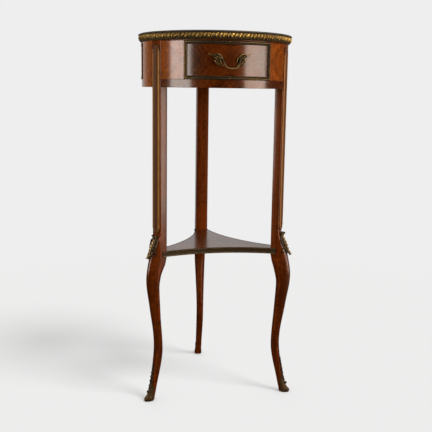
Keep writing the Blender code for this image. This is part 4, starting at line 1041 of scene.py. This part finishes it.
class DressStrips(bpy.types.Operator):
    """Make the gilt strips of the posts: two rows of pearls, a sunk channel, round ends and pins."""

    bl_idname = "side_table.dress_strips"
    bl_label = "Post strips"

    def execute(self, context):
        details = context.scene.table_details
        base = POST_OUTER + FIT
        half = STRIP_WIDTH / 2
        profile = [(across, up * MM, relief) for across, up, relief in STRIP_PROFILE]
        profile += [(-across, up, relief) for across, up, relief in reversed(profile)]
        rise = [half * (1.0 - math.cos(math.radians(turn))) for turn in STRIP_TURNS]
        cap = STRIP_TOP - STRIP_CAP
        levels = [STRIP_BOTTOM + d for d in rise] + [cap - MM, cap + MM]
        levels += [STRIP_TOP - d for d in reversed(rise)]
        rings = []
        for height in levels:
            inset = max(0.0, half - min(height - STRIP_BOTTOM, STRIP_TOP - height))
            reach = math.sqrt(half * half - inset * inset)
            tone = STRIP_CAP_TONE if height > cap else 1.0
            ring = [((base + up, reach * across, height), tone * relief) for across, up, relief in profile]
            rings.append(ring)
        shape = Shape().skin(rings)
        ahead = (1.0, 0.0, 0.0)
        count = int((STRIP_TOP - STRIP_BOTTOM - STRIP_WIDTH) / details.pearl_pitch)
        for height in spread(STRIP_BOTTOM + half, STRIP_TOP - half, count):
            for side in (-PEARL_PLACE, PEARL_PLACE):
                centre = (base + PEARL_SEAT, side * half, height)
                shape.dome(centre, ahead, PEARL_RADIUS, PEARL_HEIGHT, PEARL_TONE)
        for height in (STRIP_BOTTOM + STRIP_PIN_INSET, STRIP_TOP - STRIP_PIN_INSET):
            shape.dome((base + 0.8 * MM, 0.0, height), ahead, details.pin_radius, 1.6 * MM)
        on_each_leg("post_strip_{}", shape, "strip", "leg_strip_{}")
        return {"FINISHED"}


class DressKneeMounts(bpy.types.Operator):
    """Make the mounts of the knees: a flared cup over a lobed leaf, with side scrolls and small curls."""

    bl_idname = "side_table.dress_knee_mounts"
    bl_label = "Knee mounts"

    def execute(self, context):
        relief = context.scene.table_details.knee_relief
        shape = Shape()
        width = sized((0.0, 5.0), (0.16, 7.4), (0.34, 10.6), (0.56, 7.6), (0.8, 4.6), (1.0, 3.4))
        rise = sized((0.0, 0.35), (0.2, 0.8), (0.5, 1.0), (0.85, 0.7), (1.0, 0.45), unit=relief)
        lift = sized((0.0, 1.6), (0.2, 0.2), (0.62, 0.0), (0.82, 2.0), (1.0, 6.6))
        shape.leaf(on_leg, KNEE_LEAF, width, rise, lobes=7, lift=lift, steps=84, across=24, tone=0.95)
        for side in (-1.0, 1.0):
            path = [(side * y * MM, z * MM) for y, z in KNEE_SCROLL]
            width = sized((0.0, 0.7), (0.3, 1.3), (0.6, 1.5), (1.0, 1.0))
            rise = sized((0.0, 1.8), (0.4, 2.2), (0.8, 2.2), (1.0, 3.0))
            lift = sized((0.0, 3.0), (0.3, 0.4), (1.0, 0.8))
            shape.scroll(on_leg, path, width, rise, lift=lift, steps=54, tone=0.35)
            path = [(side * y * MM, z * MM) for y, z in KNEE_CURL]
            width = sized((0.0, 0.8), (0.5, 1.1), (1.0, 0.8))
            rise = sized((0.0, 1.4), (1.0, 1.8))
            lift = sized((0.0, 0.2), (1.0, 0.3))
            shape.scroll(on_leg, path, width, rise, lift=lift, tone=0.2)
        rings = []
        for height, depth, half in KNEE_CUP:
            ring = []
            for swing in spread(-math.pi / 2, math.pi / 2, 29):
                flute = 0.5 + 0.5 * math.cos(8.0 * swing)
                out = POST_OUTER + depth * MM * math.cos(swing) * (0.9 + 0.1 * flute)
                ring.append(((out, half * MM * math.sin(swing), height * MM), 0.2 + 0.4 * flute))
            rings.append(ring)
        shape.skin(rings)
        on_each_leg("knee_leaf_{}", shape, "mount", "knee_mount_{}")
        return {"FINISHED"}


class DressShoes(bpy.types.Operator):
    """Make the gilt shoes: a fluted cup with a turned-up toe, a leaf up the shin and a knob between."""

    bl_idname = "side_table.dress_shoes"
    bl_label = "Shoes"

    def execute(self, context):
        shape = Shape()
        columns = []
        for turn in spread(-1.0, 1.0, 49):
            flute = 0.5 + 0.5 * math.cos(math.tau * 3.0 * turn)
            top = (33.0 - 15.0 * turn * turn + 2.0 * flute) * MM
            outside = []
            inside = []
            for share in spread(0.0, 1.0, 17):
                spot, push, swell = self.cup(turn, top * share)
                edge = 0.5 if share > 0.93 else 0.0
                out = swell * (0.86 + 0.14 * flute) + 0.2 * MM + edge * 0.8 * MM
                outside.append((spot + push * out, 0.36 + 0.2 * flute + 0.6 * edge))
                inside.append((spot - push * FIT, 0.1))
            columns.append(outside + inside[::-1])
        shape.skin(columns)
        width = sized((0.0, 4.4), (0.25, 5.0), (0.6, 4.4), (0.86, 2.8), (1.0, 1.2))
        rise = sized((0.0, 3.6), (0.3, 3.2), (0.8, 2.2), (1.0, 1.2))
        lift = sized((0.0, 1.4), (0.2, 0.4), (0.86, 0.2), (1.0, 1.4))
        shape.leaf(on_leg, SHOE_LEAF, width, rise, lobes=6, lift=lift, steps=60, across=16, tone=0.35)
        point, normal = on_leg(0.0, KNOB_HEIGHT)
        shape.dome(point + KNOB_SEAT * normal, normal, KNOB_RADIUS, KNOB_SEAT, 0.4)
        on_each_leg("shoe_{}", shape, "shoe", "foot_shoe_{}")
        return {"FINISHED"}

    def cup(self, turn, height):
        """Point of the cup on the leg, its outward direction and its swell, at a share of the way round."""
        half = leg_half(height) + FIT
        front = leg_outer(height) + FIT
        heel = leg_inner(height) + SHOE_HEEL * (front - leg_inner(height))
        swell = smooth(SHOE_TOE, height)
        if abs(turn) > SHOE_ROUND:
            back = (abs(turn) - SHOE_ROUND) / (1.0 - SHOE_ROUND)
            x = front - SHOE_NOSE * half - back * (front - half * SHOE_NOSE - heel)
            y = math.copysign(half, turn)
            push = Vector((0.0, math.copysign(1.0, turn), 0.0))
            swell *= SHOE_SIDE - 0.05 * back
        else:
            swing = turn / SHOE_ROUND * math.pi / 2
            x = front - SHOE_NOSE * half * (1.0 - math.cos(swing))
            y = half * math.sin(swing)
            push = Vector((math.cos(swing), math.sin(swing), 0.0))
            swell *= SHOE_SIDE + (1.0 - SHOE_SIDE) * math.cos(swing) ** 4
        return Vector((x, y, height)), push, swell


def shelf_edge(count=49):
    """Points of one hollow edge of the shelf, in the frame whose X points out at the edge's middle."""
    reach = POST_INNER - FIT
    half = LEG_WIDTH / 2
    slant = math.radians(LEG_SPACING / 2)
    out = reach * math.cos(slant) + half * math.sin(slant)
    side = reach * math.sin(slant) - half * math.cos(slant)
    radius = (side ** 2 + SHELF_HOLLOW ** 2) / (2 * SHELF_HOLLOW)
    swing = math.asin(side / radius)
    centre = out - SHELF_HOLLOW + radius
    return [(centre - radius * math.cos(a), radius * math.sin(a)) for a in spread(-swing, swing, count)]


def band_line(distance):
    """The shelf's edge moved outwards, with its ends carried along the sides of the legs."""
    edge = shelf_edge()
    reach = POST_INNER - FIT
    slant = math.radians(LEG_SPACING / 2)
    side = LEG_WIDTH / 2 + distance
    ends = []
    for hand in (-1, 1):
        line = []
        for far in (reach + BAND_RETURN, reach):
            x = far * math.cos(slant) + side * math.sin(slant)
            y = far * math.sin(slant) - side * math.cos(slant)
            line.append((x, hand * y))
        ends.append(line)
    middle = []
    for (x0, y0), (x1, y1), (x2, y2) in zip(edge, edge[1:], edge[2:]):
        size = math.hypot(x2 - x0, y2 - y0)
        middle.append((x1 + distance * (y2 - y0) / size, y1 - distance * (x2 - x0) / size))
    return ends[0] + middle + ends[1][::-1]


def turned_plan(points, angle):
    """Plan points turned about the axis."""
    c = math.cos(math.radians(angle))
    s = math.sin(math.radians(angle))
    return [(x * c - y * s, x * s + y * c) for x, y in points]


class DressShelf(bpy.types.Operator):
    """Make the hollow-sided shelf and the brass bands of its edges."""

    bl_idname = "side_table.dress_shelf"
    bl_label = "Shelf"

    def execute(self, context):
        edge = shelf_edge()
        outline = []
        for leg in sorted(LEGS.values()):
            outline += turned_plan(edge, leg + LEG_SPACING / 2)
        shape = Shape().prism(outline, SHELF_BOTTOM, SHELF_TOP)
        finish = FINISHES["shelf"]
        piece("shelf_panel", shape, finish, ["shelf_board"], slot="top_and_shelf_veneer", bevel=SHELF_EASED)
        lines = [(band_line(FIT + out * MM), z * MM, relief) for out, z, relief in BAND_PROFILE]
        for name, angle in BAYS.items():
            turned = [(turned_plan(line, angle), z, relief) for line, z, relief in lines]
            rings = []
            for i in range(len(lines[0][0])):
                rings.append([((*line[i], z), BAND_TONE * relief) for line, z, relief in turned])
            shape = Shape().skin(rings)
            piece(f"shelf_edge_band_{name}", shape, FINISHES["gilt"], [f"shelf_band_{name}"])
        return {"FINISHED"}


class DressBorders(bpy.types.Operator):
    """Make the beaded brass borders of the drawer and of the back panels, with their corner pins."""

    bl_idname = "side_table.dress_borders"
    bl_label = "Borders"

    def execute(self, context):
        pin = context.scene.table_details.pin_radius
        for name, bay, body in (
            ("drawer_border", "front", "drawer"),
            ("panel_border_left", "back_left", "table"),
            ("panel_border_right", "back_right", "table"),
        ):
            shape = self.border(math.radians(BAYS[bay]), pin)
            nodes = [f"{name}_{side}" for side in ("top", "bottom", "left", "right")]
            piece(f"{name}_beads", shape, FINISHES["border"], nodes, body)
        return {"FINISHED"}

    def border(self, middle, pin):
        """Four mitred sides in one loop."""
        half = math.asin(DRAWER_HALF / DRUM_RADIUS)

        def spot(share, rise, inset, out):
            angle = middle + share * (half - inset / DRUM_RADIUS)
            height = (DRAWER_BOTTOM + DRAWER_TOP) / 2 + rise * ((DRAWER_TOP - DRAWER_BOTTOM) / 2 - inset)
            radius = DRUM_RADIUS + FIT + out
            return Vector((radius * math.cos(angle), radius * math.sin(angle), height))

        stations = [(share, -1.0) for share in spread(-1.0, 1.0, 49)]
        stations += [(share, 1.0) for share in spread(1.0, -1.0, 49)]
        rings = []
        for share, rise in stations:
            ring = []
            for across, up, relief in BORDER_PROFILE:
                ring.append((spot(share, rise, BORDER_WIDTH * across, up * MM), relief))
            rings.append(ring)
        shape = Shape().skin(rings, loop=True)
        for share in (-1.0, 0.0, 1.0):
            for rise in (-1.0, 1.0):
                centre = spot(share, rise, 0.4 * BORDER_WIDTH, 0.6 * MM)
                shape.dome(centre, (centre.x, centre.y, 0.0), pin, 1.5 * MM)
        return shape


class DressHandle(bpy.types.Operator):
    """Make the drop handle: leafy mounts with their posts, and the bail with its leaf sleeves."""

    bl_idname = "side_table.dress_handle"
    bl_label = "Handle"

    def execute(self, context):
        relief = context.scene.table_details.handle_relief
        for name, side in (("left", -1.0), ("right", 1.0)):
            post = side * POST_SPACING / 2
            shape = Shape()
            self.leaves(shape, post, side, relief)
            self.post(shape, post)
            piece(f"handle_leaves_{name}", shape, FINISHES["handle"], [f"handle_mount_{name}"], "drawer")
        shape = Shape()
        stations = HALF_BAIL + tuple((-x, y, z, r) for x, y, z, r in HALF_BAIL[-2::-1])
        path = [Vector((x * MM, PIVOT_Y + y * MM, PIVOT_Z + z * MM)) for x, y, z, _ in stations]
        shape.tube(path, [r * MM for _, _, _, r in stations], [0.1 + 0.3 * r for _, _, _, r in stations])
        for side in (-1.0, 1.0):
            self.sleeve(shape, side)
        piece("handle_drop", shape, FINISHES["handle"], ["handle_bail"], "bail")
        return {"FINISHED"}

    def leaves(self, shape, post, side, relief):
        """Leaves and scrolls of one mount, on the drum about its post."""

        def route(points):
            return [(post + side * x * MM, PIVOT_Z + z * MM) for x, z in points]

        rise = sized((0.0, 0.5), (0.35, 0.7), (1.0, 0.3), unit=relief)
        for path, wide, lobes in HANDLE_LEAVES:
            width = sized((0.0, 0.6 * wide), (0.4, wide), (0.75, 0.7 * wide), (1.0, 0.5))
            shape.leaf(on_drum, route(path), width, rise, lobes=lobes, steps=48, across=16, tone=0.6)
        rise = sized((0.0, 0.4), (0.5, 0.6), (1.0, 0.4), unit=relief)
        lift = sized((0.0, 0.3), (0.3, 0.45), (0.8, 0.4), (1.0, 0.2), unit=relief)
        for path, wide in HANDLE_SCROLLS:
            width = sized((0.0, 0.6 * wide), (0.4, wide), (1.0, 0.45 * wide))
            shape.scroll(on_drum, route(path), width, rise, lift=lift, steps=60, tone=0.85)

    def post(self, shape, post):
        """Turned post that carries one arm of the bail."""
        seat, _ = on_drum(post, PIVOT_Z)
        sections = [(POST_SHANK, POST_END, 0.2)]
        sections += [(radius, seat.y + out * MM, relief) for radius, out, relief in POST_BASE]
        sections += [(radius, PIVOT_Y + out * MM, relief) for radius, out, relief in POST_EYE]
        rings = []
        for radius, y, relief in sections:
            spots = [(post + radius * MM * c, y, PIVOT_Z + radius * MM * s) for c, s in circle(16)]
            rings.append([(spot, relief) for spot in spots])
        shape.skin(rings)

    def sleeve(self, shape, side):
        """Leaf on the front of one arm of the bail."""

        def arm(across, down):
            share = min(max(-down / BAIL_DROP, 0.0), 1.0)
            x = side * (16.8 - 7.0 * share ** 1.6) * MM + across
            y = PIVOT_Y - 3.8 * MM * share - 1.3 * MM
            return Vector((x, y, PIVOT_Z + down)), Vector((0.0, -1.0, 0.0))

        width = sized((0.0, 0.9), (0.4, 1.9), (1.0, 0.5))
        rise = sized((0.0, 0.6), (0.5, 1.1), (1.0, 0.4))
        flush = sized((0.0, -0.6), (1.0, -0.6))
        shape.leaf(arm, SLEEVE_PATH, width, rise, lobes=4, lift=flush, steps=30, across=10, tone=0.7)


class FinishInside(bpy.types.Operator):
    """Give the plain pieces inside the drum their finishes."""

    bl_idname = "side_table.finish_inside"
    bl_label = "Inner pieces"

    def execute(self, context):
        sides = ("left", "right")
        names = {
            "carcase_x": ["top_board", "drum_floor", "drawer_back", "drawer_bottom"],
            "carcase_y": [f"drawer_{part}_{side}" for part in ("side", "guide", "kicker") for side in sides],
            "carcase_z": [f"corner_block_{leg}" for leg in LEGS],
            "gilt": [f"handle_nut_{side}" for side in sides],
            "steel": [f"top_screw_{leg}" for leg in LEGS],
        }
        names["carcase_x"] += [f"drawer_stop_{side}" for side in sides]
        for finish, group in names.items():
            for name in group:
                NODES[name].data.materials.clear()
                NODES[name].data.materials.append(FINISHES[finish])
        return {"FINISHED"}


class SetStage(bpy.types.Operator):
    """Lay the floor, hang the lights and set the camera at the photograph's angle."""

    bl_idname = "side_table.set_stage"
    bl_label = "Stage"

    def execute(self, context):
        scene = context.scene
        studio = scene.table_studio
        pale = rgba(scene.table_colours.floor)
        floor = self.floor(scene, pale)
        self.world(scene, pale)
        boxes = {}
        for side, (place, size, tint) in SOFTBOXES.items():
            power = getattr(studio, side + "_light")
            boxes[side] = self.softbox(scene, "softbox_" + side, place, size, power, tint)
        boxes["back"].visible_glossy = False
        level = [bpy.data.objects["top_panel"], bpy.data.objects["shelf_panel"]]
        self.keep_off("not_lit_from_the_sides", [boxes["right"], boxes["left"]], [floor, *level])
        self.keep_off("not_lit_from_behind", [boxes["back"]], [floor])
        self.lamp(scene, studio.high_light)
        self.camera(scene, studio.lens)
        scene.view_settings.view_transform = "Standard"
        scene.view_settings.look = "None"
        return {"FINISHED"}

    def floor(self, scene, pale):
        """A round pale floor that fades into the background, with painted contact shadow round the feet; the
        polish reflects it as dim in front.
        """
        shape = Shape()
        outline = plan_arc(FLOOR_RADIUS, 0.0, math.radians(355.0))
        shape.skin([[((*spot, height), 0.5) for spot in outline] for height in (-FLOOR_DEPTH, 0.0)])
        mesh = bpy.data.meshes.new("floor")
        mesh.from_pydata(shape.points, [], shape.faces)
        floor = bpy.data.objects.new("floor", mesh)
        scene.collection.objects.link(floor)
        finish = bpy.data.materials.new("pale_floor")
        finish.use_nodes = True
        tree = finish.node_tree
        tree.nodes.clear()
        where = object_place(tree)
        reach = add(tree, "VectorMath", {0: where}, operation="LENGTH").outputs["Value"]
        far = ramp(tree, reach, 0.9, 1.6)
        matte = add(tree, "BsdfDiffuse", {"Color": FLOOR_MATTE})
        # Ambient occlusion dims the floor's glow round the feet: a painted contact shadow.
        open_sky = add(tree, "AmbientOcclusion", {"Distance": 0.1}, samples=8).outputs["AO"]
        glow_with_painted_shadow = ramp(tree, open_sky, 0.1, 1.0, 0.2, 0.733)
        glow = add(tree, "Emission", {"Color": pale, "Strength": glow_with_painted_shadow})
        close = add(tree, "AddShader", {0: matte.outputs[0], 1: glow.outputs[0]})
        plain = add(tree, "Emission", {"Color": pale, "Strength": 1.0})
        seen = add(tree, "MixShader", {0: far, 1: close.outputs[0], 2: plain.outputs[0]})
        spot = add(tree, "SeparateXYZ", {0: where}).outputs
        behind = ramp(tree, spot["Y"], 0.5, 2.5, 0.006, 0.7)
        right = ramp(tree, spot["X"], 0.3, 0.9, 0.0, 0.9)
        near = ramp(tree, spot["Y"], -1.0, -0.7)
        front = ramp(tree, spot["Y"], -0.3, 0.0, 1.0, 0.0)
        patch = times(tree, right, times(tree, near, front))
        dim = add(tree, "Emission", {"Color": pale, "Strength": plus(tree, behind, patch)})
        self.surface(tree, "OutputMaterial", dim, seen)
        mesh.materials.append(finish)
        return floor

    def world(self, scene, pale):
        """Pale background; the room that the polish reflects is bright behind the table and dim in front."""
        world = bpy.data.worlds.new("studio")
        world.use_nodes = True
        scene.world = world
        tree = world.node_tree
        tree.nodes.clear()
        where = add(tree, "TexCoord").outputs["Generated"]
        depth = add(tree, "SeparateXYZ", {0: where}).outputs["Y"]
        share = ramp(tree, depth, 0.55, 0.97, 0.006, 0.8)
        tint = mixed(tree, ramp(tree, depth, 0.8, 0.98), ROOM_TINT, pale)
        room = add(tree, "Background", {"Color": tint, "Strength": share})
        seen = add(tree, "Background", {"Color": pale, "Strength": 1.0})
        self.surface(tree, "OutputWorld", room, seen)

    def surface(self, tree, output, reflected, seen):
        """End a tree with one shader for the camera and one for all other rays."""
        ray = add(tree, "LightPath").outputs["Is Camera Ray"]
        both = add(tree, "MixShader", {0: ray, 1: reflected.outputs[0], 2: seen.outputs[0]})
        add(tree, output, {"Surface": both.outputs[0]})

    def softbox(self, scene, name, place, size, power, tint):
        """A rectangular softbox turned towards the table."""
        light = bpy.data.lights.new(name, "AREA")
        light.shape = "RECTANGLE"
        light.size, light.size_y = size
        lamp = self.hang(scene, light, power, tint, place, (0.0, 0.0, place[2]))
        lamp.visible_camera = False
        return lamp

    def lamp(self, scene, strength):
        """A broad far lamp high on the right, which casts the shadows."""
        light = bpy.data.lights.new("high_lamp", "SUN")
        light.angle = math.radians(LAMP_ANGLE)
        self.hang(scene, light, strength, LAMP_TINT, LAMP_PLACE, LAMP_AIM)

    def hang(self, scene, light, power, tint, place, aim):
        """Put a light in its place, turned towards a point."""
        light.energy = power
        light.color = tint
        lamp = bpy.data.objects.new(light.name, light)
        scene.collection.objects.link(lamp)
        lamp.location = place
        lamp.rotation_euler = (Vector(aim) - Vector(place)).to_track_quat("-Z", "Y").to_euler()
        return lamp

    def keep_off(self, name, lamps, things):
        """Keep softboxes off level surfaces, which would mirror them as plain white."""
        group = bpy.data.collections.new(name)
        for thing in things:
            group.objects.link(thing)
        for entry in group.collection_objects:
            entry.light_linking.link_state = "EXCLUDE"
        for lamp in lamps:
            lamp.light_linking.receiver_collection = group

    def camera(self, scene, lens):
        """Camera at the photograph's place, turned a little about all three axes."""
        bearing = math.radians(CAMERA_BEARING)
        heading = math.radians(CAMERA_BEARING + CAMERA_TURN)
        pitch = math.radians(CAMERA_PITCH)
        roll = math.radians(CAMERA_ROLL)
        up = Vector((0.0, 0.0, 1.0))
        level = Vector((-math.sin(heading), math.cos(heading), 0.0))
        across = Vector((math.cos(heading), math.sin(heading), 0.0))
        ahead = level * math.cos(pitch) - up * math.sin(pitch)
        rise = up * math.cos(pitch) + level * math.sin(pitch)
        right = across * math.cos(roll) + rise * math.sin(roll)
        top = rise * math.cos(roll) - across * math.sin(roll)
        x = CAMERA_DISTANCE * math.sin(bearing)
        y = -CAMERA_DISTANCE * math.cos(bearing)
        turn = Matrix((right, top, -ahead)).transposed().to_4x4()
        data = bpy.data.cameras.new("camera")
        data.lens = lens
        data.sensor_width = SENSOR_WIDTH
        camera = bpy.data.objects.new("camera", data)
        scene.collection.objects.link(camera)
        camera.matrix_world = Matrix.Translation((x, y, CAMERA_HEIGHT)) @ turn
        scene.camera = camera


OPERATORS = (
    DressTop,
    DressDrum,
    DressLegs,
    DressStrips,
    DressKneeMounts,
    DressShoes,
    DressShelf,
    DressBorders,
    DressHandle,
    FinishInside,
    SetStage,
)


class TablePanel(bpy.types.Panel):
    """Lists the operators and the values that they use."""

    bl_idname = "VIEW3D_PT_side_table"
    bl_label = "Side table"
    bl_space_type = "VIEW_3D"
    bl_region_type = "UI"
    bl_category = "Side table"

    def draw(self, context):
        for operator in OPERATORS:
            self.layout.operator(operator.bl_idname)
        for group in (context.scene.table_details, context.scene.table_colours, context.scene.table_studio):
            box = self.layout.box()
            for key in group.__annotations__:
                box.prop(group, key)


CLASSES = (TableDetails, TableColours, TableStudio, *OPERATORS, TablePanel)


def register():
    for cls in CLASSES:
        bpy.utils.register_class(cls)
    bpy.types.Scene.table_details = PointerProperty(type=TableDetails)
    bpy.types.Scene.table_colours = PointerProperty(type=TableColours)
    bpy.types.Scene.table_studio = PointerProperty(type=TableStudio)


def unregister():
    del bpy.types.Scene.table_studio
    del bpy.types.Scene.table_colours
    del bpy.types.Scene.table_details
    for cls in reversed(CLASSES):
        bpy.utils.unregister_class(cls)


def main():
    """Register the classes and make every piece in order."""
    register()
    make_finishes(bpy.context.scene.table_colours)
    bpy.ops.side_table.dress_top()
    bpy.ops.side_table.dress_drum()
    bpy.ops.side_table.dress_legs()
    bpy.ops.side_table.dress_strips()
    bpy.ops.side_table.dress_knee_mounts()
    bpy.ops.side_table.dress_shoes()
    bpy.ops.side_table.dress_shelf()
    bpy.ops.side_table.dress_borders()
    bpy.ops.side_table.dress_handle()
    bpy.ops.side_table.finish_inside()
    bpy.ops.side_table.set_stage()
    bpy.context.view_layer.update()


if __name__ == "__main__":
    main()
